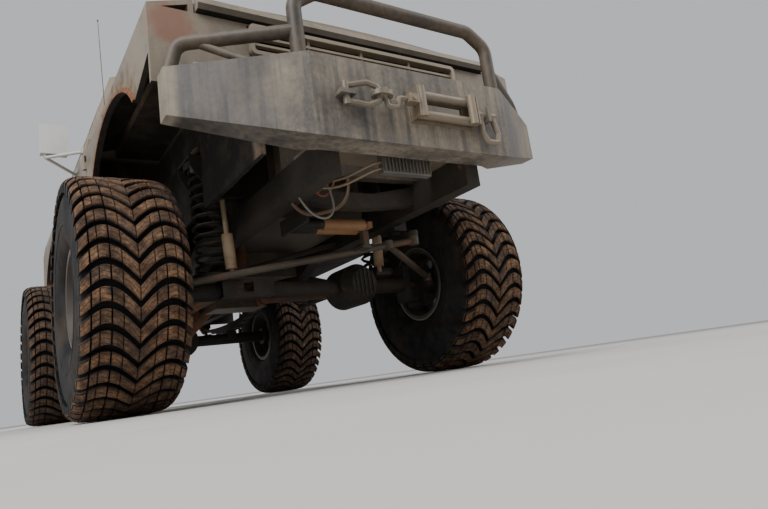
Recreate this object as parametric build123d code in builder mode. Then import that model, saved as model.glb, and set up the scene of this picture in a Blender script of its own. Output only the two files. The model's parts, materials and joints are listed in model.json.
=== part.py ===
from build123d import *
import math
import os

os.makedirs("parts", exist_ok=True)

# Lifted two-door off-road 4x4, in millimetres. The nose points along -Y, up is +Z
# and the driver's side is +X. The origin is on the floor, under the middle.

# Driving sizes of the whole vehicle
WHEELBASE = 2340
BUMPER_AHEAD = 1110     # front axle to the bumper's face
FAIRLEAD_DEEP = 67
TAIL_BEHIND = 790       # rear axle to the tail panel
REAR_BUMPER_DEEP = 80
SEAT_GAP = 0.3          # between a piece and what it rests on
FRONT_REACH = BUMPER_AHEAD + FAIRLEAD_DEEP + SEAT_GAP
REAR_REACH = TAIL_BEHIND + REAR_BUMPER_DEEP
HALF_TRACK = 880
TYRE_R = 500            # out to the lugs' tips
TYRE_W = 390
FRONT_Y = -(WHEELBASE + REAR_REACH - FRONT_REACH) / 2
REAR_Y = FRONT_Y + WHEELBASE
AXLE_Z = TYRE_R
SIDES = (-1, 1)         # passenger's side, driver's side

# Clearances
RUN_GAP = 0.05          # round a pin or spindle
PANEL_GAP = 8           # between a door or lid and the body

# Body sizes
BODY_HALF = 870
ROCKER_HALF = BODY_HALF - 70
ROCKER_Z = 820
BODY_LINE_Z = 960
CREASE_Z = 1400
BELT_Z = 1480
BELT_HALF = BODY_HALF - 12
ROOF_EDGE_Z = 2050
ROOF_EDGE_HALF = BODY_HALF - 205
ROOF_Z = 2110
ROOF_HALF = BODY_HALF - 310
WALL = 50
COWL_BEHIND = 620       # front axle to the cowl
COWL_Y = FRONT_Y + COWL_BEHIND
TAIL_Y = REAR_Y + TAIL_BEHIND
NOSE_Y = FRONT_Y - 780
ARCH_HALF = 550
ARCH_RISE = 370
ARCH_SHIFT = -40        # the arch sits a little ahead of its axle
LIP_W = 16
LIP_OUT = 8
SKIN = 20
GLASS_INSET = 18
GLASS_T = 8


def side_prism(outline, x_low, x_high, grow=0.0):
    """Extrude a closed outline of (y, z) points across the vehicle."""
    with BuildPart() as prism:
        with BuildSketch(Plane.YZ.offset(x_low)):
            with BuildLine():
                Polyline(*outline, close=True)
            make_face()
            if grow:
                offset(amount=grow, kind=Kind.INTERSECTION)
        extrude(amount=x_high - x_low)
    return prism.part


def front_prism(outline, y_low, y_high, grow=0.0):
    """Extrude a closed outline of (x, z) points along the vehicle."""
    with BuildPart() as prism:
        with BuildSketch(Plane.XZ.offset(-y_high)):
            with BuildLine():
                Polyline(*outline, close=True)
            make_face()
            if grow:
                offset(amount=grow, kind=Kind.INTERSECTION)
        extrude(amount=y_high - y_low)
    return prism.part


def plan_prism(outline, z_low, z_high):
    """Extrude a closed outline of (x, y) points upwards."""
    with BuildPart() as prism:
        with BuildSketch(Plane.XY.offset(z_low)):
            with BuildLine():
                Polyline(*outline, close=True)
            make_face()
        extrude(amount=z_high - z_low)
    return prism.part


def block(x_low, x_high, y_low, y_high, z_low, z_high):
    """A box between its limits."""
    with BuildPart(Plane.XY.offset(z_low)) as solid:
        with Locations(((x_low + x_high) / 2, (y_low + y_high) / 2)):
            Box(x_high - x_low, y_high - y_low, z_high - z_low,
                align=(Align.CENTER, Align.CENTER, Align.MIN))
    return solid.part


def rod(start, end, radius):
    """A round bar from one point to another."""
    run = Vector(*end) - Vector(*start)
    with BuildPart(Plane(origin=start, z_dir=run)) as bar:
        Cylinder(radius, run.length, align=(Align.CENTER, Align.CENTER, Align.MIN))
    return bar.part


def ball(centre, radius):
    """A ball joint's ball."""
    with BuildPart(Plane(origin=centre)) as sphere:
        Sphere(radius)
    return sphere.part


def tube(points, bends, radius, sides=0):
    """A bent tube through points, all bends alike; flat-sided where sides are given."""
    with BuildPart() as pipe:
        with BuildLine() as path:
            FilletPolyline(*points, radius=bends)
        with BuildSketch(Plane(origin=path.line @ 0, z_dir=path.line % 0)):
            if sides:
                RegularPolygon(radius, sides)
            else:
                Circle(radius)
        sweep()
    return pipe.part


def arch_prism(axle_y, x_low, x_high, grow=0.0):
    """The elliptical wheel opening above an axle."""
    with BuildPart() as arch:
        with BuildSketch(Plane.YZ.offset(x_low)):
            with Locations((axle_y + ARCH_SHIFT, BODY_LINE_Z)):
                Ellipse(ARCH_HALF + grow, ARCH_RISE + grow)
        extrude(amount=x_high - x_low)
    return arch.part


def arch_lip(axle_y, side):
    """The rolled lip round the upper half of a wheel opening."""
    across = sorted((side * (BODY_HALF - 12), side * (BODY_HALF + LIP_OUT)))
    lip = arch_prism(axle_y, *across, grow=LIP_W) - arch_prism(axle_y, *across)
    reach = ARCH_HALF + LIP_W + 10
    return lip & block(*across, axle_y + ARCH_SHIFT - reach, axle_y + ARCH_SHIFT + reach, BODY_LINE_Z, CREASE_Z)


def write(part, name):
    """Label a finished piece and write it."""
    part.label = name
    export_step(part, f"parts/{name}.step")


# Tyres: a ring of rubber with few flat sides, and two rows of slanted shoulder lugs
BEAD_R = 190
FLANGE_R = 207
RIM_HALF = 160
HALF_TYRE = TYRE_W / 2
CROWN_HALF = 150        # half width of the tread's flat part
LUG_COUNT = 18          # on each side
LUG_START = 8
LUG_LEAN = 62           # how far a lug's outer end trails the middle
LUG_TRAIL = 5 + (LUG_LEAN - 5) * (CROWN_HALF - LUG_START) / (HALF_TYRE - LUG_START)
LUG_TIP = math.sqrt(TYRE_R ** 2 - LUG_TRAIL ** 2)
LUG_DEPTH = 22
TREAD_R = LUG_TIP - LUG_DEPTH
tyre_half = [
    # (across, radius to the flats)
    (RIM_HALF - 15, BEAD_R + SEAT_GAP), (RIM_HALF - 15, FLANGE_R + 3), (HALF_TYRE - 18, FLANGE_R + 30), (HALF_TYRE - 6, 330),
    (HALF_TYRE - 12, 420), (HALF_TYRE - 40, TREAD_R),
]
tyre_section = [(-across, radius) for across, radius in tyre_half] + tyre_half[::-1]
lug_plan = [
    # (across, around)
    (LUG_START, -40), (LUG_START, 5), (HALF_TYRE, LUG_LEAN), (HALF_TYRE, 2),
]
lug_section = [
    # (across, radius)
    (LUG_START, 440), (LUG_START, LUG_TIP - 3), (CROWN_HALF, LUG_TIP), (HALF_TYRE, 446), (CROWN_HALF, 425),
]


def lug(side):
    """One lug at the top of the tyre, leaning away from the middle."""
    plan = plan_prism([(side * across, around) for across, around in lug_plan], 400, TYRE_R)
    section = front_prism([(side * across, radius) for across, radius in lug_section], -100, 100)
    return plan & section


def tyre_corner(place, step):
    """A corner of the flat-sided ring: one place of the section, one step round."""
    across, radius = tyre_section[place % len(tyre_section)]
    turn = 2 * math.pi * (step + 0.5) / LUG_COUNT
    reach = radius / math.cos(math.pi / LUG_COUNT)
    return (across, reach * math.sin(turn), reach * math.cos(turn))


tyre_flats = []
for place in range(len(tyre_section)):
    for step in range(LUG_COUNT):
        corners = [tyre_corner(place, step), tyre_corner(place, step + 1),
                   tyre_corner(place + 1, step + 1), tyre_corner(place + 1, step)]
        tyre_flats.append(Face(Wire.make_polygon(corners, close=True)))
with BuildPart() as one_tyre:
    add(Solid(Shell(tyre_flats)))
    # A lug's trailing corner stands straight below the axle
    lowest = 180 + math.degrees(math.atan2(LUG_TRAIL, LUG_TIP))
    for side in SIDES:
        shift = lowest + 90 / LUG_COUNT * (1 - side)
        for number in range(LUG_COUNT):
            add(lug(side).rotate(Axis.X, shift + 360 / LUG_COUNT * number))


# Wheels: a dished steel rim with eight holes, and a hub that runs on the spindle
DISC_X = -50            # the rim's mounting face, from its middle
SPINDLE_R = 30
HUB_R = 55
SPINDLE_START = 745     # outer face of the knuckle's plate
SPINDLE_END = 800
rim_section = [
    # (across, radius)
    (-RIM_HALF, FLANGE_R), (-RIM_HALF + 14, FLANGE_R), (-RIM_HALF + 14, BEAD_R), (-70, 168),
    (70, 168), (RIM_HALF - 14, BEAD_R), (RIM_HALF - 14, FLANGE_R), (RIM_HALF, FLANGE_R),
    (RIM_HALF, BEAD_R - 8), (72, 160), (-72, 160), (-RIM_HALF, BEAD_R - 8),
]


def wheel(side, axle_y):
    """One rim with its hub; the open dish faces outwards."""
    with BuildPart() as rim:
        with BuildSketch(Plane.XY):
            with BuildLine():
                Polyline(*[(side * across, radius) for across, radius in rim_section], close=True)
            make_face()
        revolve(axis=Axis.X)
        hub_start = side * (SPINDLE_START + 2 - HALF_TRACK)
        with BuildSketch(Plane.YZ.offset(side * DISC_X)):
            Circle(164)
            with PolarLocations(112, 8):
                RegularPolygon(26, 8, mode=Mode.SUBTRACT)
        extrude(amount=side * 12)
        with BuildSketch(Plane.YZ.offset(hub_start)):
            Circle(HUB_R)
        extrude(amount=side * 170)
        with BuildSketch(Plane.YZ.offset(hub_start)):
            Circle(SPINDLE_R + RUN_GAP)
        extrude(amount=side * (SPINDLE_END - SPINDLE_START), mode=Mode.SUBTRACT)
    with BuildPart(Plane(origin=(side * HALF_TRACK, axle_y, AXLE_Z))) as whole:
        add(rim.part)
    return whole.part


CORNERS = {
    # name: (side, axle)
    "front_right": (-1, FRONT_Y),
    "front_left": (1, FRONT_Y),
    "rear_right": (-1, REAR_Y),
    "rear_left": (1, REAR_Y),
}
for corner, (side, axle_y) in CORNERS.items():
    write(one_tyre.part.moved(Location((side * HALF_TRACK, axle_y, AXLE_Z))), f"tyre_{corner}")
    write(wheel(side, axle_y), f"wheel_{corner}")

# Front axle: tube, offset differential, and the open yokes that hold the knuckles
KINGPIN_X = 680
KINGPIN_R = 14
YOKE_LOW = 75
YOKE_HIGH = 100
DIFF_X = 288
DIFF_R = 108
RIB_HALF = 74
TUBE_R = 42
SPRING_X = 455
SPRING_R = 78
SPRING_WIRE = 9
SPRING_LOW = 580
SPRING_HIGH = 1120
SHOCK_X = 400
SHOCK_Y = FRONT_Y - 112
SHOCK_FOOT_Z = AXLE_Z + 48
SHOCK_HEAD_Z = 912
TRACK_BAR_X = 572
TRACK_BAR_Y = FRONT_Y + 118
SHOCK_SEAT_GAP = 1.2    # the slanted eyes just clear their plates
with BuildPart() as front_axle:
    add(rod((-610, FRONT_Y, AXLE_Z), (610, FRONT_Y, AXLE_Z), TUBE_R))
    add(rod((DIFF_X, FRONT_Y + 110, AXLE_Z), (DIFF_X, FRONT_Y - 70, AXLE_Z), DIFF_R))
    with BuildSketch(Plane.XZ.offset(-(FRONT_Y - 70))):
        with Locations((DIFF_X, AXLE_Z)):
            Circle(DIFF_R - 2)
    with BuildSketch(Plane.XZ.offset(-(FRONT_Y - 130))):
        with Locations((DIFF_X, AXLE_Z)):
            Circle(DIFF_R - 36)
    loft()
    # Ribs across the cover
    for across in (-48, -24, 0, 24, 48):
        add(block(DIFF_X + across - 3, DIFF_X + across + 3, FRONT_Y - 137, FRONT_Y - 80,
                  AXLE_Z - RIB_HALF + abs(across) / 3, AXLE_Z + RIB_HALF - abs(across) / 3))
    for side in SIDES:
        # The yoke: a web with an upper and a lower ear
        add(block(*sorted((side * 600, side * 640)), FRONT_Y - 45, FRONT_Y + 45,
                  AXLE_Z - YOKE_HIGH, AXLE_Z + YOKE_HIGH))
        for up in SIDES:
            ear = sorted((AXLE_Z + up * YOKE_LOW, AXLE_Z + up * YOKE_HIGH))
            add(block(*sorted((side * 630, side * 699)), FRONT_Y - 28, FRONT_Y + 28, *ear))
        # Half shaft and its joint
        add(rod((side * 600, FRONT_Y, AXLE_Z), (side * 680, FRONT_Y, AXLE_Z), 18))
        add(ball((side * KINGPIN_X, FRONT_Y, AXLE_Z), 29))
        # Spring perch and the plate under the shock
        with Locations((side * SPRING_X, FRONT_Y, SPRING_LOW - SEAT_GAP)):
            Cylinder(SPRING_R + 12, 30, align=(Align.CENTER, Align.CENTER, Align.MAX))
        add(block(*sorted((side * (SHOCK_X - 40), side * (SHOCK_X + 40))), SHOCK_Y - 34, FRONT_Y,
                  SHOCK_FOOT_Z - 14, SHOCK_FOOT_Z))
        with Locations((side * KINGPIN_X, FRONT_Y, AXLE_Z + 87), (side * KINGPIN_X, FRONT_Y, AXLE_Z - 87)):
            Cylinder(KINGPIN_R + RUN_GAP, 40, mode=Mode.SUBTRACT)
    # Folded bracket ahead of the tube, with a square hole
    add(block(-SHOCK_X - 40, -190, FRONT_Y - 84, FRONT_Y - 76, AXLE_Z - 38, SHOCK_FOOT_Z))
    add(block(-SHOCK_X - 40, -190, FRONT_Y - 84, FRONT_Y - 20, AXLE_Z - 38, AXLE_Z - 30))
    add(block(-SHOCK_X + 60, -SHOCK_X + 108, FRONT_Y - 90, FRONT_Y - 70, AXLE_Z - 16, AXLE_Z + 32),
        mode=Mode.SUBTRACT)
    # Bracket behind the tube for the track bar
    add(block(-TRACK_BAR_X - 15, -TRACK_BAR_X + 15, FRONT_Y, TRACK_BAR_Y - 15 - SEAT_GAP, AXLE_Z - 20, AXLE_Z + 55))
write(front_axle.part, "front_axle")

# Knuckles: a plate with two ears, kingpins, spindle and a steering arm pointing forward
ARM_REACH = 150
ARM_LOW = AXLE_Z - 40
ARM_HIGH = AXLE_Z - 12
STUD_R = 9
for side, name in ((-1, "knuckle_right"), (1, "knuckle_left")):
    with BuildPart() as knuckle:
        add(block(*sorted((side * 716, side * SPINDLE_START)), FRONT_Y - 60, FRONT_Y + 60,
                  AXLE_Z - 130, AXLE_Z + 130))
        for up in SIDES:
            ear = sorted((AXLE_Z + up * (YOKE_HIGH + 5), AXLE_Z + up * 130))
            add(block(*sorted((side * 655, side * 730)), FRONT_Y - 26, FRONT_Y + 26, *ear))
            add(rod((side * KINGPIN_X, FRONT_Y, AXLE_Z + up * 110),
                    (side * KINGPIN_X, FRONT_Y, AXLE_Z + up * 72), KINGPIN_R))
        add(plan_prism([(side * 745, FRONT_Y - 40), (side * 745, FRONT_Y - 90),
                        (side * 700, FRONT_Y - ARM_REACH - 20), (side * 660, FRONT_Y - ARM_REACH - 20),
                        (side * 660, FRONT_Y - ARM_REACH + 10), (side * 716, FRONT_Y - 50)],
                       ARM_LOW, ARM_HIGH))
        add(rod((side * (SPINDLE_START - 5), FRONT_Y, AXLE_Z), (side * (SPINDLE_END - 3), FRONT_Y, AXLE_Z),
                SPINDLE_R))
        with Locations((side * KINGPIN_X, FRONT_Y - ARM_REACH, ARM_LOW)):
            Cylinder(STUD_R + RUN_GAP, 100, mode=Mode.SUBTRACT)
    write(knuckle.part, name)

# Steering linkage: drag link from the far knuckle to the pitman arm, and a short tie rod
PITMAN_X = 400
PITMAN_SHAFT_Y = FRONT_Y - 290
PITMAN_Y = PITMAN_SHAFT_Y - ARM_REACH
PITMAN_Z = 660          # underside of the pitman arm
PITMAN_T = 26
LINK_R = 16
LINK_BALL_R = 21
LINK_BOSS_R = 24
LINK_END_Z = ARM_HIGH + SEAT_GAP + LINK_BALL_R
TIE_SHARE = 0.88        # where the tie rod joins, along the drag link
right_end = (-KINGPIN_X, FRONT_Y - ARM_REACH, LINK_END_Z)
left_end = (KINGPIN_X, FRONT_Y - ARM_REACH, LINK_END_Z)
pitman_end = (PITMAN_X, PITMAN_Y, PITMAN_Z - SEAT_GAP - LINK_BALL_R)
tie_start = tuple(a + (b - a) * TIE_SHARE for a, b in zip(right_end, pitman_end))
# A post on the drag link stands under the dampers' yoke
DAMPER_EYE_X = 120
DAMPER_Z = 700
DAMPER_R = 26
DAMPER_YS = (PITMAN_Y + 35, PITMAN_Y - 35)
eye_share = (DAMPER_EYE_X - right_end[0]) / (pitman_end[0] - right_end[0])
eye_on_link = tuple(a + (b - a) * eye_share for a, b in zip(right_end, pitman_end))
with BuildPart() as steering_links:
    add(rod(pitman_end, right_end, LINK_R))
    add(rod(left_end, tie_start, LINK_R))
    for end in (pitman_end, right_end, left_end, tie_start):
        add(rod((*end[:2], end[2] - LINK_BALL_R), (*end[:2], end[2] + LINK_BALL_R), LINK_BOSS_R))
    for end in (right_end, left_end):
        add(rod((*end[:2], ARM_LOW), end, STUD_R))
    add(rod(pitman_end, (*pitman_end[:2], PITMAN_Z + PITMAN_T), STUD_R))
    add(block(DAMPER_EYE_X - 25, DAMPER_EYE_X + 25, PITMAN_Y - 15, eye_on_link[1] + 15,
              eye_on_link[2] - 5, eye_on_link[2] + 7))
    add(block(DAMPER_EYE_X - 15, DAMPER_EYE_X + 15, PITMAN_Y - 15, PITMAN_Y + 15,
              eye_on_link[2], DAMPER_Z - 20))
write(steering_links.part, "steering_links")

# Pitman arm on the steering box's shaft
SECTOR_R = 20
BOX_LOW = 715
BOX_HIGH = 850
with BuildPart() as pitman_arm:
    with BuildSketch(Plane.XY.offset(PITMAN_Z)):
        with Locations((PITMAN_X, (PITMAN_SHAFT_Y + PITMAN_Y) / 2)):
            SlotCenterToCenter(ARM_REACH, 52, rotation=90)
    extrude(amount=PITMAN_T)
    with Locations((PITMAN_X, PITMAN_Y, PITMAN_Z)):
        Cylinder(STUD_R + RUN_GAP, 100, mode=Mode.SUBTRACT)
    add(rod((PITMAN_X, PITMAN_SHAFT_Y, PITMAN_Z + 5), (PITMAN_X, PITMAN_SHAFT_Y, BOX_LOW + 40), SECTOR_R))
write(pitman_arm.part, "pitman_arm")

# Frame: two kicked rails, crossmembers, spring cups, shock plates and body pucks
RAIL_X = 330
RAIL_W = 70
RAIL_H = 130
RAIL_IN = RAIL_X - RAIL_W / 2
RAIL_OUT = RAIL_X + RAIL_W / 2
BUMPER_BACK_Y = FRONT_Y - 985
rail_tops = [
    # (along, top edge)
    (BUMPER_BACK_Y, 860), (FRONT_Y + 480, 860), (FRONT_Y + 640, 800),
    (REAR_Y - 700, 800), (REAR_Y - 520, 812), (TAIL_Y - 20, 812),
]
rail_outline = rail_tops + [(y, z - RAIL_H) for y, z in reversed(rail_tops)]
with BuildPart() as steering_box:
    add(block(RAIL_OUT + SEAT_GAP, PITMAN_X + 40, PITMAN_SHAFT_Y - 55, PITMAN_SHAFT_Y + 75, BOX_LOW, BOX_HIGH))
    add(rod((PITMAN_X, PITMAN_SHAFT_Y, BOX_LOW), (PITMAN_X, PITMAN_SHAFT_Y, BOX_LOW - 18), SECTOR_R + 12))
    with Locations((PITMAN_X, PITMAN_SHAFT_Y, BOX_LOW)):
        Cylinder(SECTOR_R + RUN_GAP, 84, mode=Mode.SUBTRACT)
write(steering_box.part, "steering_box")

LEAF_HALF = 640
LEAF_X = 440
LEAF_SEAT_Z = AXLE_Z + 60
LEAF_EYE_R = 17
LEAF_EYE_Z = LEAF_SEAT_Z + 92
DAMPER_FIX_X = -250
ENGINE_HALF = 240
CROSS_LOW = 760
TOWER_HALF = SPRING_R + 17
tower_web = [
    # (across, height)
    (302, 840), (RAIL_OUT + 4, 840), (SHOCK_X + 45, 925), (SPRING_X + 95, 1085),
    (SPRING_X + 95, SPRING_HIGH + 10), (330, SPRING_HIGH + 10),
]
with BuildPart() as frame:
    for side in SIDES:
        add(side_prism(rail_outline, *sorted((side * RAIL_IN, side * RAIL_OUT))))
        # Spring tower: two webs on the rail, a top plate, and the cup round the coil
        add(block(*sorted((side * 310, side * (SPRING_X + 95))), FRONT_Y - TOWER_HALF, FRONT_Y + TOWER_HALF,
                  SPRING_HIGH + SEAT_GAP, SPRING_HIGH + 14))
        with BuildSketch(Plane.XY.offset(SPRING_HIGH - 34)):
            with Locations((side * SPRING_X, FRONT_Y)):
                RegularPolygon(SPRING_R + 15, 16)
                RegularPolygon(SPRING_R + 9, 16, mode=Mode.SUBTRACT)
        extrude(amount=40)
        tower = [(side * x, z) for x, z in tower_web]
        for end in SIDES:
            along = sorted((FRONT_Y + end * (TOWER_HALF - 8), FRONT_Y + end * TOWER_HALF))
            add(front_prism(tower, *along))
            with BuildSketch(Plane.XZ.offset(-along[1] - 2)):
                with Locations((side * 362, 1000)):
                    Circle(17)
            extrude(amount=12, mode=Mode.SUBTRACT)
        # Plate over the shock, on the tower's front web
        add(block(*sorted((side * 320, side * (SHOCK_X + 45))), SHOCK_Y - 34, FRONT_Y - TOWER_HALF + 4,
                  SHOCK_HEAD_Z + SEAT_GAP, SHOCK_HEAD_Z + 12))
        # Leaf spring hangers
        for along in (REAR_Y - LEAF_HALF, REAR_Y + LEAF_HALF):
            add(block(*sorted((side * (RAIL_OUT - 5), side * (LEAF_X + 40))), along - 30, along + 30,
                      LEAF_EYE_Z + LEAF_EYE_R + SEAT_GAP, 770))
        # Pucks under the body
        for along in (COWL_Y + 140, COWL_Y + 880, TAIL_Y - 200):
            add(rod((side * RAIL_X, along, 790), (side * RAIL_X, along, ROCKER_Z - SEAT_GAP), 32))
        # Engine mount
        add(block(*sorted((side * (ENGINE_HALF + SEAT_GAP), side * (RAIL_IN + 5))), FRONT_Y - 60, FRONT_Y + 20, 790, 850))
    # V-shaped front crossmember
    add(front_prism([(-RAIL_IN - 5, 845), (-RAIL_IN - 5, CROSS_LOW), (-60, 735), (60, 735),
                     (RAIL_IN + 5, CROSS_LOW), (RAIL_IN + 5, 845), (70, 800), (-70, 800)],
                    FRONT_Y - 620, FRONT_Y - 560))
    # Middle and rear crossmembers
    add(block(-RAIL_IN - 5, RAIL_IN + 5, FRONT_Y + 800, FRONT_Y + 860, 635, 665))
    for side in SIDES:
        add(block(*sorted((side * (RAIL_IN - 25), side * (RAIL_IN + 5))), FRONT_Y + 800, FRONT_Y + 860, 650, 700))
    for along, low, high in ((REAR_Y - 560, 710, 780), (REAR_Y + 335, 720, 790), (TAIL_Y - 90, 700, 790)):
        add(block(-RAIL_IN - 5, RAIL_IN + 5, along - 35, along + 35, low, high))
    # Damper bracket under the V crossmember
    add(block(DAMPER_FIX_X - 14, DAMPER_FIX_X, min(DAMPER_YS) - 90, max(DAMPER_YS) + 30,
              DAMPER_Z - 32, DAMPER_Z + 32))
    add(block(DAMPER_FIX_X - 14, DAMPER_FIX_X, FRONT_Y - 620, FRONT_Y - 540, DAMPER_Z - 32, 800))
write(frame.part, "frame")

# Steering dampers: rods fixed at the bracket, bodies sliding with the drag link
DAMPER_ROD_R = 9
BARREL_START = -110
ROD_INSIDE = 90
BARREL_BORE = 170
with BuildPart() as damper_rods:
    for along in DAMPER_YS:
        add(rod((DAMPER_FIX_X, along, DAMPER_Z), (BARREL_START + ROD_INSIDE, along, DAMPER_Z), DAMPER_ROD_R))
write(damper_rods.part, "damper_rods")
with BuildPart() as damper_bodies:
    for along in DAMPER_YS:
        add(rod((BARREL_START, along, DAMPER_Z), (DAMPER_EYE_X - 20, along, DAMPER_Z), DAMPER_R))
        add(rod((DAMPER_EYE_X - 25, along, DAMPER_Z), (DAMPER_EYE_X, along, DAMPER_Z), 12))
        add(rod((BARREL_START - 1, along, DAMPER_Z), (BARREL_START + BARREL_BORE, along, DAMPER_Z),
                DAMPER_ROD_R + RUN_GAP), mode=Mode.SUBTRACT)
    # The eyes share one yoke
    add(block(DAMPER_EYE_X - 4, DAMPER_EYE_X + 20, min(DAMPER_YS) - 14, max(DAMPER_YS) + 14,
              DAMPER_Z - 14, DAMPER_Z + 14))
write(damper_bodies.part, "damper_bodies")

# Front coils, wound as helices of short straight steps
COIL_TURNS = 11
COIL_STEPS = 12         # in one turn
COIL_R = SPRING_R - SPRING_WIRE
with BuildPart() as one_coil:
    rise = (SPRING_HIGH - SPRING_LOW - 2 * SPRING_WIRE) / (COIL_TURNS * COIL_STEPS)
    slope = rise / (2 * math.pi * COIL_R / COIL_STEPS)
    for step in range(COIL_TURNS * COIL_STEPS + 1):
        turn = 2 * math.pi * step / COIL_STEPS
        outwards = (math.cos(turn), math.sin(turn), 0)
        centre = (COIL_R * outwards[0], COIL_R * outwards[1], SPRING_LOW + SPRING_WIRE + rise * step)
        with BuildSketch(Plane(origin=centre, x_dir=outwards, z_dir=(-outwards[1], outwards[0], slope))):
            RegularPolygon(SPRING_WIRE, 4)
    loft(ruled=True)
with BuildPart() as coil_springs:
    for side in SIDES:
        add(one_coil.part.moved(Location((side * SPRING_X, FRONT_Y, 0))))
write(coil_springs.part, "coil_springs")

# Shock absorbers: the front pair ahead of the axle, the rear pair behind it
REAR_SHOCK_Z = AXLE_Z + 52
with BuildPart() as shocks:
    for side in SIDES:
        for low, high in (
            # (lower eye, upper stud)
            ((side * SHOCK_X, SHOCK_Y, SHOCK_FOOT_Z + SHOCK_SEAT_GAP),
             (side * (SHOCK_X + 18), SHOCK_Y, SHOCK_HEAD_Z + SEAT_GAP - SHOCK_SEAT_GAP)),
            ((side * 260, REAR_Y + 62, REAR_SHOCK_Z + 10), (side * 215, REAR_Y + 290, 760)),
        ):
            middle = tuple(a + (b - a) * 0.55 for a, b in zip(low, high))
            neck = tuple(a + (b - a) * 0.1 for a, b in zip(low, high))
            add(rod(low, middle, 12))
            add(rod(neck, middle, 26))
            add(rod(middle, high, 12))
write(shocks.part, "shocks")

# Rear axle
with BuildPart() as rear_axle:
    add(rod((-740, REAR_Y, AXLE_Z), (740, REAR_Y, AXLE_Z), 44))
    add(rod((0, REAR_Y - 140, AXLE_Z), (0, REAR_Y + 80, AXLE_Z), 130))
    with BuildSketch(Plane.XZ.offset(-(REAR_Y + 140))):
        with Locations((0, AXLE_Z)):
            Circle(88)
    with BuildSketch(Plane.XZ.offset(-(REAR_Y + 80))):
        with Locations((0, AXLE_Z)):
            Circle(128)
    loft()
    for side in SIDES:
        add(rod((side * 725, REAR_Y, AXLE_Z), (side * SPINDLE_START, REAR_Y, AXLE_Z), 70))
        add(rod((side * (SPINDLE_START - 5), REAR_Y, AXLE_Z), (side * (SPINDLE_END - 3), REAR_Y, AXLE_Z),
                SPINDLE_R))
        add(block(*sorted((side * (LEAF_X - 40), side * (LEAF_X + 40))), REAR_Y - 60, REAR_Y + 60,
                  AXLE_Z, LEAF_SEAT_Z - SEAT_GAP))
        add(block(*sorted((side * 235, side * 285)), REAR_Y, REAR_Y + 95, AXLE_Z - 10, REAR_SHOCK_Z))
write(rear_axle.part, "rear_axle")

# Leaf springs: four leaves that shorten downwards, and an eye at each end
LEAF_T = 15
LEAF_CROWN = 40
leaves = [
    # (share of the length, height of its underside above the seat)
    (1.0, 3 * LEAF_T), (0.8, 2 * LEAF_T), (0.6, LEAF_T), (0.4, 0),
]
with BuildPart() as leaf_springs:
    for side in SIDES:
        for share, lift in leaves:
            half = LEAF_HALF * share
            rise = LEAF_CROWN * share ** 2
            with BuildSketch(Plane.YZ.offset(side * LEAF_X - 32)):
                with BuildLine():
                    low = LEAF_SEAT_Z + lift
                    ThreePointArc((REAR_Y - half, low + rise), (REAR_Y, low), (REAR_Y + half, low + rise))
                    Line((REAR_Y + half, low + rise), (REAR_Y + half, low + rise + LEAF_T))
                    ThreePointArc((REAR_Y + half, low + rise + LEAF_T), (REAR_Y, low + LEAF_T),
                                  (REAR_Y - half, low + rise + LEAF_T))
                    Line((REAR_Y - half, low + rise + LEAF_T), (REAR_Y - half, low + rise))
                make_face()
            extrude(amount=64)
        for along in (REAR_Y - LEAF_HALF, REAR_Y + LEAF_HALF):
            add(rod((side * LEAF_X - 32, along, LEAF_EYE_Z), (side * LEAF_X + 32, along, LEAF_EYE_Z), LEAF_EYE_R))
write(leaf_springs.part, "leaf_springs")

# Radius arms from the axle back to the rails, and the track bar behind the axle
ARM_EYE_R = 22
ARM_FOOT_X = 442
ARM_EYE_Y = FRONT_Y + 720
ARM_EYE_Z = 670 - SEAT_GAP - ARM_EYE_R
with BuildPart() as front_links:
    for side in SIDES:
        add(rod((side * ARM_FOOT_X, FRONT_Y + TUBE_R + 8, AXLE_Z - 10), (side * RAIL_X, ARM_EYE_Y, ARM_EYE_Z), 20))
        add(rod((side * (RAIL_X - 33), ARM_EYE_Y, ARM_EYE_Z), (side * (RAIL_X + 33), ARM_EYE_Y, ARM_EYE_Z), ARM_EYE_R))
    add(rod((-TRACK_BAR_X, TRACK_BAR_Y, AXLE_Z + 38), (RAIL_IN - 12, TRACK_BAR_Y, 765), 15))
write(front_links.part, "front_links")

# Engine as one plain block, radiator, gearbox with transfer case, and driveshafts
with BuildPart() as engine:
    add(block(-ENGINE_HALF, ENGINE_HALF, FRONT_Y - 260, FRONT_Y + 420, 790, 1290))
write(engine.part, "engine")
with BuildPart() as radiator:
    add(block(-RAIL_OUT, RAIL_OUT, FRONT_Y - 655, FRONT_Y - 600, 860 + SEAT_GAP, 1350))
write(radiator.part, "radiator")
GEARBOX_END = FRONT_Y + 1180
TRANSFER_X = 160
TRANSFER_Y = FRONT_Y + 940
TRANSFER_OUT_Z = 598
DIFF_BACK_Y = FRONT_Y + 110
JOINT_LONG = 65
with BuildPart() as gearbox:
    with BuildSketch(Plane.XZ.offset(-(FRONT_Y + 420 + SEAT_GAP))):
        with Locations((0, 800)):
            Rectangle(360, 300)
    with BuildSketch(Plane.XZ.offset(-(FRONT_Y + 610))):
        with Locations((0, 730)):
            Rectangle(230, 150)
    loft()
    add(block(-115, 115, FRONT_Y + 600, TRANSFER_Y, 665 + SEAT_GAP, 805))
    add(block(-130, 200, TRANSFER_Y, GEARBOX_END, 560, 800))
write(gearbox.part, "gearbox")
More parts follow.
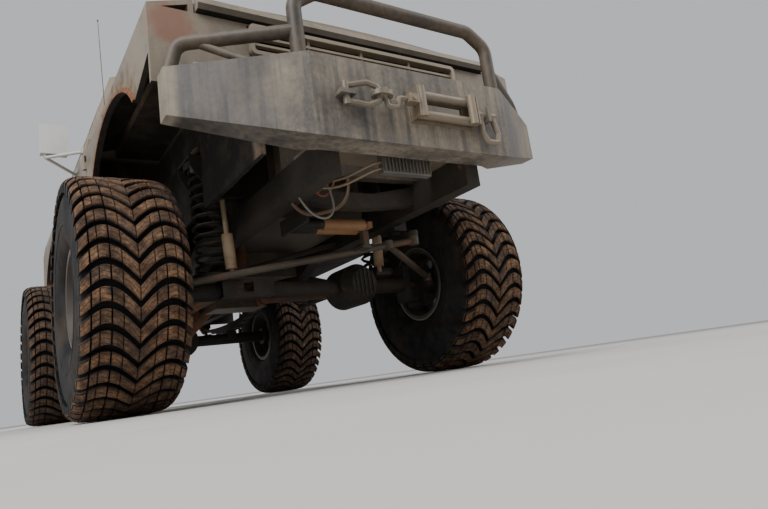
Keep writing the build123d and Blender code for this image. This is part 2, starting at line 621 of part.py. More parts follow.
with BuildPart() as driveshafts:
    for front, back, radius in (
        ((DIFF_X, DIFF_BACK_Y + SEAT_GAP, AXLE_Z), (TRANSFER_X, TRANSFER_Y - SEAT_GAP, TRANSFER_OUT_Z), 30),
        ((0, GEARBOX_END + SEAT_GAP, 680), (0, REAR_Y - 140 - SEAT_GAP, AXLE_Z + 10), 38),
    ):
        front_joint = (front[0], front[1] + JOINT_LONG, front[2])
        back_joint = (back[0], back[1] - JOINT_LONG, back[2])
        add(rod(front, front_joint, radius + 8))
        add(rod(back_joint, back, radius + 8))
        add(rod((front[0], front_joint[1] - 12, front[2]), (back[0], back_joint[1] + 12, back[2]), radius))
write(driveshafts.part, "driveshafts")

# Cabin: a cross-section along the body, trimmed by a side profile
WINDSCREEN_FOOT = (COWL_Y, BELT_Z - 10)
WINDSCREEN_HEAD = (FRONT_Y + 1010, 2090)
section_half = [
    # (half width, height, share of the inset that goes upwards)
    (ROCKER_HALF, ROCKER_Z, 1), (BODY_HALF, BODY_LINE_Z, 0), (BODY_HALF, CREASE_Z, 0),
    (BELT_HALF, BELT_Z, 0), (ROOF_EDGE_HALF, ROOF_EDGE_Z, -0.6), (ROOF_HALF, ROOF_Z, -1),
]
profile = [
    # (along, height, share of the inset along, share of the inset upwards)
    (COWL_Y, ROCKER_Z, 1, 1), (*WINDSCREEN_FOOT, 1, 0), (*WINDSCREEN_HEAD, 1, -0.6),
    (FRONT_Y + 1110, ROOF_Z, 1, -1), (TAIL_Y - 280, ROOF_Z, -1, -1), (TAIL_Y - 170, 2080, -1, -0.6),
    (TAIL_Y - 20, BELT_Z, -1, 0), (TAIL_Y, BODY_LINE_Z, -1, 0), (TAIL_Y - 50, ROCKER_Z, -1, 1),
]


def cabin(inset):
    """The closed form of the cabin, its surfaces moved inwards by an inset."""
    half = [(width - inset, height + inset * lift) for width, height, lift in section_half]
    outline = half + [(-width, height) for width, height in reversed(half)]
    side = [(along + inset * back, height + inset * lift) for along, height, back, lift in profile]
    return front_prism(outline, COWL_Y + inset, TAIL_Y - inset) & side_prism(side, -BODY_HALF, BODY_HALF)


DOOR_LOW = 972
DOOR_FRONT = FRONT_Y + 645
DOOR_BACK = FRONT_Y + 1700
DOOR_TOP = 2030
door_outline = [
    (DOOR_FRONT, DOOR_LOW), (DOOR_FRONT, BELT_Z - 10), (FRONT_Y + 700, BELT_Z + 20),
    (FRONT_Y + 1035, DOOR_TOP), (DOOR_BACK, DOOR_TOP), (DOOR_BACK, DOOR_LOW),
]
door_window = [
    (FRONT_Y + 800, BELT_Z + 35), (FRONT_Y + 1085, DOOR_TOP - 60), (DOOR_BACK - 60, DOOR_TOP - 60),
    (DOOR_BACK - 60, BELT_Z + 35),
]
quarter_window = [
    (DOOR_BACK + 110, BELT_Z + 35), (DOOR_BACK + 110, DOOR_TOP - 60), (TAIL_Y - 360, DOOR_TOP - 60),
    (TAIL_Y - 300, BELT_Z + 35),
]
GATE_LOW = 985
GATE_TOP = 2040
GATE_HALF = BODY_HALF - 120
GATE_HEAD = ROOF_EDGE_HALF - 65
FRAME_W = 60            # of the liftgate round its window
gate_outline = [
    (-GATE_HALF, GATE_LOW), (-GATE_HALF, BELT_Z), (-GATE_HEAD, GATE_TOP), (GATE_HEAD, GATE_TOP),
    (GATE_HALF, BELT_Z), (GATE_HALF, GATE_LOW),
]
gate_window = [
    (-GATE_HALF + 110, BELT_Z + 50), (FRAME_W - GATE_HEAD, GATE_TOP - FRAME_W),
    (GATE_HEAD - FRAME_W, GATE_TOP - FRAME_W), (GATE_HALF - 110, BELT_Z + 50),
]
screen_outline = [
    (-GATE_HALF + 10, BELT_Z + 25), (-GATE_HEAD + 10, GATE_TOP), (GATE_HEAD - 10, GATE_TOP),
    (GATE_HALF - 10, BELT_Z + 25),
]

shell = cabin(0) - cabin(WALL)
pane = cabin(GLASS_INSET) - cabin(GLASS_INSET + GLASS_T)
GLASS_GAP = -SEAT_GAP

# Hinge barrels: a pin on the body's side, a bored ring on the moving side
PIN_R = 4
BARREL_R = 9
BARREL_LONG = 40


def barrel_pair(centre, axis, radius=BARREL_R):
    """The fixed pin with its collar, and the ring that turns on it."""
    centre = Vector(*centre)
    axis = Vector(*axis)
    fixed = rod(tuple(centre - axis * BARREL_LONG), tuple(centre), radius)
    fixed += rod(tuple(centre - axis * 5), tuple(centre + axis * BARREL_LONG), PIN_R)
    turning = rod(tuple(centre + axis * SEAT_GAP), tuple(centre + axis * BARREL_LONG), radius)
    turning -= rod(tuple(centre - axis * 5), tuple(centre + axis * (BARREL_LONG + 5)), PIN_R + RUN_GAP)
    return fixed, turning


# Doors: the shell's own wall inside the door outline, with its window cut
DOOR_HINGE_X = BODY_HALF + BARREL_R + 1
DOOR_HINGE_Y = DOOR_FRONT - PANEL_GAP / 2
DOOR_HINGE_ZS = (1080, 1340)
HANDLE_Z = 1350


def door_zone(side, deeper=0.0):
    """The layer along one side of the cabin that the door takes its wall from."""
    low = side * (BODY_HALF - WALL - deeper)
    high = side * (ROOF_EDGE_HALF - WALL - deeper)
    out = side * (BODY_HALF + 20)
    return front_prism([(low, ROCKER_Z), (low, CREASE_Z), (high, ROOF_EDGE_Z), (out, ROOF_EDGE_Z), (out, ROCKER_Z)],
                       COWL_Y, TAIL_Y)


cuts_from_shell = []
tub_hinges = []
for side, hand in ((-1, "right"), (1, "left")):
    across = sorted((side * (ROOF_EDGE_HALF - 185), side * (BODY_HALF + 20)))
    with BuildPart() as door:
        add(shell & side_prism(door_outline, *across) & door_zone(side))
        add(side_prism(door_window, *across), mode=Mode.SUBTRACT)
        for height in DOOR_HINGE_ZS:
            fixed, turning = barrel_pair((side * DOOR_HINGE_X, DOOR_HINGE_Y, height), (0, 0, 1))
            add(turning)
            leaf = sorted((side * (BODY_HALF - 5), side * DOOR_HINGE_X))
            add(block(*leaf, DOOR_HINGE_Y + PIN_R + 1, DOOR_FRONT + 30, height + SEAT_GAP, height + BARREL_LONG))
            tub_hinges.append(fixed)
            tub_hinges.append(block(*leaf, COWL_Y + 3, DOOR_HINGE_Y - PIN_R, height - BARREL_LONG, height))
        # Pull handle on two posts
        grip = sorted((side * (BODY_HALF + 16), side * (BODY_HALF + 28)))
        add(block(*grip, DOOR_BACK - 190, DOOR_BACK - 50, HANDLE_Z - 12, HANDLE_Z + 12))
        for along in (DOOR_BACK - 182, DOOR_BACK - 58):
            add(block(*sorted((side * (BODY_HALF - 4), side * (BODY_HALF + 20))), along - 7, along + 7,
                      HANDLE_Z - 10, HANDLE_Z + 10))
    write(door.part, f"door_{hand}")
    cuts_from_shell.append(side_prism(door_outline, *across, grow=PANEL_GAP) & door_zone(side, PANEL_GAP))
    with BuildPart() as door_glass:
        add(pane & side_prism(door_window, *across, grow=GLASS_GAP))
    write(door_glass.part, f"door_glass_{hand}")

# Liftgate, hinged along the roof's rear edge
GATE_HINGE_Y = TAIL_Y - 157
GATE_HINGE_Z = GATE_TOP + PANEL_GAP / 2 + 2
gate_depth = (TAIL_Y - 260, TAIL_Y + 30)
gate_hinges = []
with BuildPart() as liftgate:
    add(shell & front_prism(gate_outline, *gate_depth))
    add(front_prism(gate_window, *gate_depth), mode=Mode.SUBTRACT)
    for x_hinge in (-420, 380):
        fixed, turning = barrel_pair((x_hinge, GATE_HINGE_Y + 14, GATE_HINGE_Z), (1, 0, 0))
        add(turning)
        add(block(x_hinge + SEAT_GAP, x_hinge + BARREL_LONG, GATE_HINGE_Y - 12, GATE_HINGE_Y + 14,
                  GATE_TOP - 25, GATE_HINGE_Z - PIN_R - 2))
        gate_hinges.append(fixed)
        gate_hinges.append(block(x_hinge - BARREL_LONG, x_hinge - SEAT_GAP, GATE_HINGE_Y - 14, GATE_HINGE_Y + 14,
                                 GATE_HINGE_Z + 3, GATE_HINGE_Z + BARREL_R))
write(liftgate.part, "liftgate")
cuts_from_shell.append(front_prism(gate_outline, *gate_depth, grow=PANEL_GAP))
with BuildPart() as liftgate_glass:
    add(pane & front_prism(gate_window, *gate_depth, grow=GLASS_GAP))
write(liftgate_glass.part, "liftgate_glass")

# Fixed glass: windscreen and the two quarter windows
screen_depth = (COWL_Y - 20, COWL_Y + 480)
with BuildPart() as fixed_glass:
    add(pane & front_prism(screen_outline, *screen_depth, grow=GLASS_GAP))
    for side in SIDES:
        across = sorted((side * (ROOF_EDGE_HALF - 185), side * (BODY_HALF + 20)))
        add(pane & side_prism(quarter_window, *across, grow=GLASS_GAP))
write(fixed_glass.part, "fixed_glass")

# Hood hinges: pins on the cowl, rings on the hood
HOOD_HINGE_Y = COWL_Y - 12
HOOD_HINGE_Z = 1466
HOOD_BACK_Y = COWL_Y - 24
hood_rings = []
for x_hinge in (-520, 480):
    fixed, turning = barrel_pair((x_hinge, HOOD_HINGE_Y, HOOD_HINGE_Z), (1, 0, 0), 8)
    tub_hinges.append(fixed)
    tub_hinges.append(block(x_hinge - BARREL_LONG, x_hinge - SEAT_GAP, HOOD_HINGE_Y, COWL_Y + 8,
                            HOOD_HINGE_Z - 14, HOOD_HINGE_Z - 2))
    hood_rings.append(turning)
    hood_rings.append(block(x_hinge + SEAT_GAP, x_hinge + BARREL_LONG, HOOD_BACK_Y - 14, HOOD_HINGE_Y - 4,
                            HOOD_HINGE_Z - 18, HOOD_HINGE_Z - 5))

# The rest of the shell, split at the beltline into roof and tub
WHEELHOUSE_IN = 640
WHEELHOUSE_T = 14
everything = (-BODY_HALF - 60, BODY_HALF + 60, COWL_Y - 60, TAIL_Y + 60)
with BuildPart() as roof:
    add(shell & block(*everything, BELT_Z + 10, ROOF_Z + 10))
    for cut in cuts_from_shell:
        add(cut, mode=Mode.SUBTRACT)
    add(front_prism(screen_outline, *screen_depth), mode=Mode.SUBTRACT)
    add(side_prism(quarter_window, -BODY_HALF - 20, BODY_HALF + 20), mode=Mode.SUBTRACT)
    for hinge in gate_hinges:
        add(hinge)
write(roof.part, "roof")

with BuildPart() as body_tub:
    add(shell & block(*everything, ROCKER_Z - 10, BELT_Z + 10 - SEAT_GAP))
    for cut in cuts_from_shell:
        add(cut, mode=Mode.SUBTRACT)
    for side in SIDES:
        add(arch_prism(REAR_Y, *sorted((side * WHEELHOUSE_IN, side * (BODY_HALF + 20)))), mode=Mode.SUBTRACT)
    for side in SIDES:
        inner = sorted((side * WHEELHOUSE_IN, side * (WHEELHOUSE_IN + WHEELHOUSE_T)))
        drum = arch_prism(REAR_Y, *sorted((side * WHEELHOUSE_IN, side * (BODY_HALF - 30))), grow=WHEELHOUSE_T)
        drum -= arch_prism(REAR_Y, *sorted((side * WHEELHOUSE_IN, side * (BODY_HALF + 20))))
        drum += arch_prism(REAR_Y, *inner, grow=WHEELHOUSE_T)
        add(drum & block(*everything, ROCKER_Z, BELT_Z))
        add(arch_lip(REAR_Y, side))
    for hinge in tub_hinges:
        add(hinge)
write(body_tub.part, "body_tub")

# Front clip: two fenders with their inner aprons, and the nose panel between them
HOOD_EDGE_X = BODY_HALF - 165
APRON_X = 480
LEDGE_Z = 1395
NOSE_LOW = 1100
fender_half = [
    # (across, height)
    (BODY_HALF, BODY_LINE_Z), (BODY_HALF, CREASE_Z), (HOOD_EDGE_X, 1450), (HOOD_EDGE_X, LEDGE_Z),
    (APRON_X, LEDGE_Z), (APRON_X, 870), (APRON_X + SKIN, 870), (APRON_X + SKIN, LEDGE_Z - SKIN),
    (HOOD_EDGE_X + SKIN, LEDGE_Z - SKIN), (HOOD_EDGE_X + SKIN, 1424), (BODY_HALF - SKIN, CREASE_Z - 14),
    (BODY_HALF - SKIN, BODY_LINE_Z),
]
GRILLE_HALF = 505
GRILLE_LOW = 1262
GRILLE_HIGH = 1388
LAMP_X = 640
LAMP_Z = 1150
LAMP_W = 170
LAMP_H = 90
TOWER_GAP = 10
with BuildPart() as front_clip:
    for side in SIDES:
        add(front_prism([(side * x, z) for x, z in fender_half], NOSE_Y, COWL_Y))
        add(arch_prism(FRONT_Y, *sorted((side * (BODY_HALF - SKIN - 5), side * (BODY_HALF + 5)))),
            mode=Mode.SUBTRACT)
        add(arch_lip(FRONT_Y, side))
        # The fender ends well above the bumper ahead of its arch
        add(side_prism([(NOSE_Y - 10, 800), (NOSE_Y - 10, 1225), (FRONT_Y - 520, 1140), (FRONT_Y - 400, 800)],
                       *sorted((side * (BODY_HALF - SKIN - 5), side * (BODY_HALF + 15)))), mode=Mode.SUBTRACT)
        # Window in the apron round the spring tower
        add(block(*sorted((side * (APRON_X - 10), side * (APRON_X + SKIN + 10))), FRONT_Y - TOWER_HALF - TOWER_GAP,
                  FRONT_Y + TOWER_HALF + TOWER_GAP, 860, SPRING_HIGH + 14 + TOWER_GAP), mode=Mode.SUBTRACT)
    add(block(-BODY_HALF, BODY_HALF, NOSE_Y, NOSE_Y + SKIN, NOSE_LOW, LEDGE_Z))
    add(block(-GRILLE_HALF, GRILLE_HALF, NOSE_Y - 5, NOSE_Y + SKIN + 5, GRILLE_LOW, GRILLE_HIGH), mode=Mode.SUBTRACT)
    for side in SIDES:
        add(block(side * LAMP_X - LAMP_W / 2, side * LAMP_X + LAMP_W / 2, NOSE_Y - 5, NOSE_Y + SKIN + 5,
                  LAMP_Z - LAMP_H / 2, LAMP_Z + LAMP_H / 2), mode=Mode.SUBTRACT)
write(front_clip.part, "front_clip")

# Grille: a frame with one long slot row of bars
BAR = 16
GRILLE_DEEP = 40
with BuildPart() as grille:
    with BuildSketch(Plane.XZ.offset(-(NOSE_Y + SKIN - 4))):
        with Locations((0, (GRILLE_LOW + GRILLE_HIGH) / 2)):
            RectangleRounded(2 * GRILLE_HALF - 2 * SEAT_GAP, GRILLE_HIGH - GRILLE_LOW - 2 * SEAT_GAP, 20)
            RectangleRounded(2 * GRILLE_HALF - 2 * BAR, GRILLE_HIGH - GRILLE_LOW - 2 * BAR, 12, mode=Mode.SUBTRACT)
    extrude(amount=GRILLE_DEEP)
    for height in (GRILLE_LOW + 48, GRILLE_LOW + 80):
        add(block(-GRILLE_HALF + 8, GRILLE_HALF - 8, NOSE_Y - 12, NOSE_Y + 8, height - 5, height + 5))
    for across in (-250, 0, 250):
        add(block(across - 6, across + 6, NOSE_Y - 8, NOSE_Y + 12, GRILLE_LOW + 8, GRILLE_HIGH - 8))
write(grille.part, "grille")

# Lamps: two headlamps in the nose panel and two tail lamps on the rear corners
with BuildPart() as headlamps:
    for side in SIDES:
        add(block(side * LAMP_X - LAMP_W / 2 + 1, side * LAMP_X + LAMP_W / 2 - 1, NOSE_Y - 6, NOSE_Y + SKIN + 60,
                  LAMP_Z - LAMP_H / 2 + SEAT_GAP, LAMP_Z + LAMP_H / 2 - 1))
write(headlamps.part, "headlamps")
TAIL_LAMP_X = BODY_HALF - 57
with BuildPart() as tail_lamps:
    for side in SIDES:
        add(block(side * TAIL_LAMP_X - 45, side * TAIL_LAMP_X + 45, TAIL_Y - 12, TAIL_Y + 22, 1120, 1400))
    add(cabin(-SEAT_GAP), mode=Mode.SUBTRACT)
write(tail_lamps.part, "tail_lamps")

# Hood: a crowned lid with a thick rolled nose, hinged at the cowl
HOOD_HALF = HOOD_EDGE_X - PANEL_GAP
HOOD_LOW = LEDGE_Z + 7
HOOD_SIDE_Z = 1450
HOOD_CROWN_Z = 1478
HOOD_T = 28
HOOD_NOSE_Y = NOSE_Y - 35
with BuildPart() as hood:
    with BuildSketch(Plane.XZ.offset(-HOOD_BACK_Y)):
        with BuildLine():
            ThreePointArc((-HOOD_HALF, HOOD_SIDE_Z), (0, HOOD_CROWN_Z), (HOOD_HALF, HOOD_SIDE_Z))
            Line((HOOD_HALF, HOOD_SIDE_Z), (HOOD_HALF, HOOD_LOW))
            Line((HOOD_HALF, HOOD_LOW), (HOOD_HALF - HOOD_T, HOOD_LOW))
            Line((HOOD_HALF - HOOD_T, HOOD_LOW), (HOOD_HALF - HOOD_T, HOOD_SIDE_Z - HOOD_T))
            ThreePointArc((HOOD_HALF - HOOD_T, HOOD_SIDE_Z - HOOD_T), (0, HOOD_CROWN_Z - HOOD_T),
                          (HOOD_T - HOOD_HALF, HOOD_SIDE_Z - HOOD_T))
            Line((HOOD_T - HOOD_HALF, HOOD_SIDE_Z - HOOD_T), (HOOD_T - HOOD_HALF, HOOD_LOW))
            Line((HOOD_T - HOOD_HALF, HOOD_LOW), (-HOOD_HALF, HOOD_LOW))
            Line((-HOOD_HALF, HOOD_LOW), (-HOOD_HALF, HOOD_SIDE_Z))
        make_face()
    extrude(amount=HOOD_BACK_Y - NOSE_Y)
    # Rolled nose
    with BuildSketch(Plane.YZ.offset(-HOOD_HALF)):
        with BuildLine():
            Polyline((NOSE_Y + 20, HOOD_LOW), (HOOD_NOSE_Y + 12, HOOD_LOW), (HOOD_NOSE_Y, HOOD_LOW + 18),
                     (HOOD_NOSE_Y + 8, 1446), (NOSE_Y + 20, 1462), close=True)
        make_face()
    extrude(amount=2 * HOOD_HALF)
    for ring in hood_rings:
        add(ring)
write(hood.part, "hood")

# Front bumper: a folded plate box, deep in the middle, its ends swept back and up
BUMPER_MID = 440        # half width of the straight middle
BUMPER_END = 855
BUMPER_FACE_Y = FRONT_Y - BUMPER_AHEAD
BUMPER_END_Y = FRONT_Y - 872
BUMPER_DEPTH = 120
BUMPER_END_DEPTH = 72
BUMPER_TOP = 1115
BUMPER_MID_LOW = 815
BUMPER_END_LOW = 935
PLATE = 10


def bumper_form(inset):
    """The bumper's outer form, moved inwards by an inset but open at the back."""
    plan_half = [(BUMPER_MID, BUMPER_FACE_Y + inset), (BUMPER_END - inset, BUMPER_END_Y + inset),
                 (BUMPER_END - inset, BUMPER_END_Y + BUMPER_END_DEPTH + inset),
                 (BUMPER_MID - 60, BUMPER_FACE_Y + BUMPER_DEPTH + inset)]
    plan = plan_half + [(-x, y) for x, y in reversed(plan_half)]
    face_half = [(BUMPER_MID, BUMPER_MID_LOW + inset), (BUMPER_END, BUMPER_END_LOW + inset),
                 (BUMPER_END, BUMPER_TOP - 10 - inset), (BUMPER_MID, BUMPER_TOP - inset)]
    face = face_half + [(-x, z) for x, z in reversed(face_half)]
    return plan_prism(plan, 700, 1300) & front_prism(face, BUMPER_FACE_Y - 10, BUMPER_END_Y + 300)


FAIRLEAD_X = 95
FAIRLEAD_HALF = 150
FAIRLEAD_Z = 965
FAIRLEAD_SLOT = 26
HANG_X = 310            # the driver's side tab stands upright
STOW_X = -330           # the passenger's side tab lies flat
TAB_T = 16
TAB_Z = FAIRLEAD_Z
TAB_HOLE_R = 13
PIN_Y = BUMPER_FACE_Y - 24
with BuildPart() as front_bumper:
    add(bumper_form(0))
    add(bumper_form(PLATE), mode=Mode.SUBTRACT)
    # Slot for the winch rope behind the fairlead
    add(block(FAIRLEAD_X - 110, FAIRLEAD_X + 110, BUMPER_FACE_Y - 5, BUMPER_FACE_Y + 25,
              FAIRLEAD_Z - FAIRLEAD_SLOT, FAIRLEAD_Z + FAIRLEAD_SLOT), mode=Mode.SUBTRACT)
    # Mounting plates back to the frame's rails
    for side in SIDES:
        add(block(*sorted((side * RAIL_IN, side * RAIL_OUT)), BUMPER_FACE_Y + 5, BUMPER_BACK_Y - SEAT_GAP,
                  BUMPER_MID_LOW + 5, 880))
    # Shackle tabs
    add(block(HANG_X - TAB_T / 2, HANG_X + TAB_T / 2, BUMPER_FACE_Y - 45, BUMPER_FACE_Y + 5, TAB_Z - 30, TAB_Z + 30))
    add(block(STOW_X - 30, STOW_X + 30, BUMPER_FACE_Y - 45, BUMPER_FACE_Y + 5, TAB_Z - TAB_T / 2, TAB_Z + TAB_T / 2))
    add(rod((HANG_X - TAB_T, PIN_Y, TAB_Z), (HANG_X + TAB_T, PIN_Y, TAB_Z), TAB_HOLE_R), mode=Mode.SUBTRACT)
    add(rod((STOW_X, PIN_Y, TAB_Z - TAB_T), (STOW_X, PIN_Y, TAB_Z + TAB_T), TAB_HOLE_R), mode=Mode.SUBTRACT)
write(front_bumper.part, "front_bumper")

# Brush guard: a hoop in the middle and a rail over each wing with a thin brace
GUARD_R = 27
GUARD_X = 450
GUARD_Y = BUMPER_FACE_Y + 50
GUARD_TOP = 1385
WING_Z = 1215
with BuildPart() as brush_guard:
    add(tube([(-GUARD_X, GUARD_Y, BUMPER_TOP + SEAT_GAP), (-GUARD_X, GUARD_Y, GUARD_TOP - 60),
              (-GUARD_X + 90, GUARD_Y, GUARD_TOP), (GUARD_X - 90, GUARD_Y, GUARD_TOP),
              (GUARD_X, GUARD_Y, GUARD_TOP - 60), (GUARD_X, GUARD_Y, BUMPER_TOP + SEAT_GAP)], 60, GUARD_R))
    for side in SIDES:
        add(tube([(side * GUARD_X, GUARD_Y, WING_Z), (side * (BUMPER_END - 60), BUMPER_END_Y + 30, WING_Z),
                  (side * (BUMPER_END - 28), BUMPER_END_Y + 34, BUMPER_TOP - 5)], 45, GUARD_R - 3))
        add(rod((side * (BUMPER_END - 110), BUMPER_END_Y + 2, WING_Z), (side * (GUARD_X + 150), GUARD_Y + 75,
                 BUMPER_TOP - 5), 14))
    add(bumper_form(-SEAT_GAP), mode=Mode.SUBTRACT)
write(brush_guard.part, "brush_guard")

# Roller fairlead: a frame bolted to the bumper's face, with four rollers
ROLLER_R = 17
with BuildPart() as fairlead:
    plate_y = BUMPER_FACE_Y - SEAT_GAP
    add(block(FAIRLEAD_X - FAIRLEAD_HALF, FAIRLEAD_X + FAIRLEAD_HALF, plate_y - 8, plate_y,
              FAIRLEAD_Z - 62, FAIRLEAD_Z + 62))
    add(block(FAIRLEAD_X - 105, FAIRLEAD_X + 105, plate_y - 9, plate_y + 1,
              FAIRLEAD_Z - FAIRLEAD_SLOT, FAIRLEAD_Z + FAIRLEAD_SLOT), mode=Mode.SUBTRACT)
    for side in SIDES:
        # End cheeks, upright roller and the two long rollers between them
        add(block(*sorted((FAIRLEAD_X + side * 138, FAIRLEAD_X + side * 146)), plate_y - 62, plate_y - 4,
                  FAIRLEAD_Z - 58, FAIRLEAD_Z + 58))
        add(rod((FAIRLEAD_X - 140, plate_y - 28, FAIRLEAD_Z + side * 38),
                (FAIRLEAD_X + 140, plate_y - 28, FAIRLEAD_Z + side * 38), ROLLER_R))
        upright_y = plate_y - FAIRLEAD_DEEP + ROLLER_R
        add(rod((FAIRLEAD_X + side * 122, upright_y, FAIRLEAD_Z - 58),
                (FAIRLEAD_X + side * 122, upright_y, FAIRLEAD_Z + 58), ROLLER_R))
write(fairlead.part, "fairlead")

# Winch behind the bumper: drum between motor and gear housing, on a plate over the rails
WINCH_Y = FRONT_Y - 860
WINCH_Z = 965
with BuildPart() as winch:
    add(block(-RAIL_OUT, RAIL_OUT + 70, WINCH_Y - 90, WINCH_Y + 90, 860 + SEAT_GAP, 872))
    add(rod((FAIRLEAD_X - 120, WINCH_Y, WINCH_Z), (FAIRLEAD_X + 120, WINCH_Y, WINCH_Z), 52))
    add(rod((FAIRLEAD_X - 320, WINCH_Y, WINCH_Z), (FAIRLEAD_X - 118, WINCH_Y, WINCH_Z), 68))
    add(rod((FAIRLEAD_X + 118, WINCH_Y, WINCH_Z), (FAIRLEAD_X + 215, WINCH_Y, WINCH_Z), 74))
    for foot in (FAIRLEAD_X - 150, FAIRLEAD_X + 150):
        add(block(foot - 12, foot + 12, WINCH_Y - 60, WINCH_Y + 60, 866, WINCH_Z))
write(winch.part, "winch")

# Recovery gear: a shackle that hangs, a shackle drawn sideways, and a link to the winch hook
SHACKLE_R = 11
SHACKLE_REACH = 118
HOOK_R = 9


def shackle(pin, outwards, across):
    """A bow shackle from its pin's middle: the pin, two legs and the bow between them."""
    pin = Vector(*pin)
    outwards = Vector(*outwards).normalized()
    across = Vector(*across)
    half = [(28, 0), (42, SHACKLE_REACH - 40), (26, SHACKLE_REACH)]
    legs = [pin + across * wide + outwards * far for wide, far in half]
    legs += [pin - across * wide + outwards * far for wide, far in reversed(half)]
    bow = tube([tuple(point) for point in legs], 16, SHACKLE_R, 8)
    return bow + rod(tuple(pin - across * 42), tuple(pin + across * 42), TAB_HOLE_R - SEAT_GAP)


stow_way = Vector(1, -0.24, 0).normalized()
bow_x = STOW_X + stow_way.X * SHACKLE_REACH
HOOK_Y = PIN_Y + stow_way.Y * SHACKLE_REACH
TIP_X = bow_x + 30
link_low = bow_x - SHACKLE_R - SEAT_GAP
link_high = TIP_X + HOOK_R + SEAT_GAP
LINK_W = 15
with BuildPart() as recovery_gear:
    add(shackle((HANG_X, PIN_Y, TAB_Z), (0, -0.12, -1), (1, 0, 0)))
    add(shackle((STOW_X, PIN_Y, TAB_Z), tuple(stow_way), (0, 0, 1)))
    with BuildSketch(Plane.XY.offset(TAB_Z - 8)):
        with Locations(((link_low + link_high) / 2, HOOK_Y)):
            SlotOverall(link_high - link_low + 2 * LINK_W, 32 + 2 * LINK_W)
            SlotOverall(link_high - link_low, 32, mode=Mode.SUBTRACT)
    extrude(amount=16)
write(recovery_gear.part, "recovery_gear")
with BuildPart() as winch_hook:
    clevis_x = FAIRLEAD_X - 146 - SEAT_GAP
    add(block(clevis_x - 46, clevis_x, HOOK_Y - 20, HOOK_Y + 20, TAB_Z - 16, TAB_Z + 16))
    add(rod((clevis_x - 24, HOOK_Y - 25, TAB_Z), (clevis_x - 24, HOOK_Y + 25, TAB_Z), 9))
    add(tube([(clevis_x - 40, HOOK_Y, TAB_Z), (TIP_X + 56, HOOK_Y, TAB_Z), (TIP_X + 44, HOOK_Y, TAB_Z - 38),
              (TIP_X, HOOK_Y, TAB_Z - 40), (TIP_X, HOOK_Y, TAB_Z + 30)], 12, HOOK_R, 8))
write(winch_hook.part, "winch_hook")

# Rear bumper: a plain folded beam with a receiver tube
RECEIVER = 51
RECEIVER_Z = 714
BEAM_Y = TAIL_Y + REAR_BUMPER_DEEP
with BuildPart() as rear_bumper:
    with BuildSketch(Plane.YZ.offset(-800)):
        with BuildLine():
            Polyline((TAIL_Y - 20, 720), (TAIL_Y + 64, 740), (BEAM_Y, 760), (BEAM_Y, 880),
                     (TAIL_Y + 64, 900), (TAIL_Y + 12, 900), (TAIL_Y + 12, 890), (TAIL_Y + 60, 890),
                     (TAIL_Y + 70, 878), (TAIL_Y + 70, 764), (TAIL_Y + 58, 749), (TAIL_Y - 20, 730), close=True)
        make_face()
    extrude(amount=1600)
    add(block(-RECEIVER, RECEIVER, TAIL_Y - 50, BEAM_Y, RECEIVER_Z, RECEIVER_Z + 2 * RECEIVER))
    add(block(-RECEIVER / 2, RECEIVER / 2, TAIL_Y - 60, TAIL_Y + 90, RECEIVER_Z + RECEIVER / 2, RECEIVER_Z + RECEIVER * 1.5),
        mode=Mode.SUBTRACT)
    for side in SIDES:
        add(block(*sorted((side * RAIL_IN, side * RAIL_OUT)), TAIL_Y - 20 + SEAT_GAP, TAIL_Y + 72, 735, 800))
write(rear_bumper.part, "rear_bumper")

# Exhaust: pipe, muffler and tailpipe along the passenger's side
MUFFLER_X = -230
MUFFLER_Z = 590
with BuildPart() as exhaust:
    add(tube([(-210, FRONT_Y + 250, 790 - SEAT_GAP), (-210, FRONT_Y + 250, 710), (-225, FRONT_Y + 340, 620),
              (MUFFLER_X, FRONT_Y + 600, MUFFLER_Z), (MUFFLER_X, REAR_Y - 1080, MUFFLER_Z)], 60, 26, 12))
    add(rod((MUFFLER_X, REAR_Y - 1100, MUFFLER_Z), (MUFFLER_X, REAR_Y - 640, MUFFLER_Z), 85))
    add(tube([(MUFFLER_X, REAR_Y - 660, MUFFLER_Z), (MUFFLER_X, REAR_Y - 460, 600), (-120, REAR_Y - 250, 700),
              (-120, REAR_Y + 150, 700), (-160, REAR_Y + 330, 660), (-230, REAR_Y + 440, 640),
              (-400, REAR_Y + 690, 640), (-460, TAIL_Y + 20, 640)], 55, 24, 12))
write(exhaust.part, "exhaust")

# Oil cooler hung under the winch plate
COOLER_LOW = -80
COOLER_HIGH = 150
COOLER_FINS = 14
with BuildPart() as oil_cooler:
    add(block(COOLER_LOW, COOLER_HIGH, WINCH_Y - 80, WINCH_Y - 50, 772, 860))
    for number in range(COOLER_FINS):
        along = COOLER_LOW + 8 + (COOLER_HIGH - COOLER_LOW - 16) / (COOLER_FINS - 1) * number
        add(block(along - 2, along + 2, WINCH_Y - 90, WINCH_Y - 75, 778, 854))
write(oil_cooler.part, "oil_cooler")

# Side steps: a tube along each side, hung from the frame on two outriggers
STEP_X = 790
STEP_Z = 645
STEP_R = 24
with BuildPart() as side_steps:
    for side in SIDES:
        add(rod((side * STEP_X, COWL_Y + 80, STEP_Z), (side * STEP_X, DOOR_BACK - 50, STEP_Z), STEP_R))
        for along in (COWL_Y + 220, DOOR_BACK - 230):
            add(rod((side * (RAIL_OUT + 8), along, 735), (side * STEP_X, along, STEP_Z), 17))
            add(block(*sorted((side * (RAIL_OUT + SEAT_GAP), side * (RAIL_OUT + 12))), along - 32, along + 32, 700, 775))
write(side_steps.part, "side_steps")

# Fuel tank behind the rear axle, hung on the floor
with BuildPart() as fuel_tank:
    add(block(-120, 270, REAR_Y + 400, TAIL_Y - 140, 600, ROCKER_Z - SEAT_GAP))
write(fuel_tank.part, "fuel_tank")

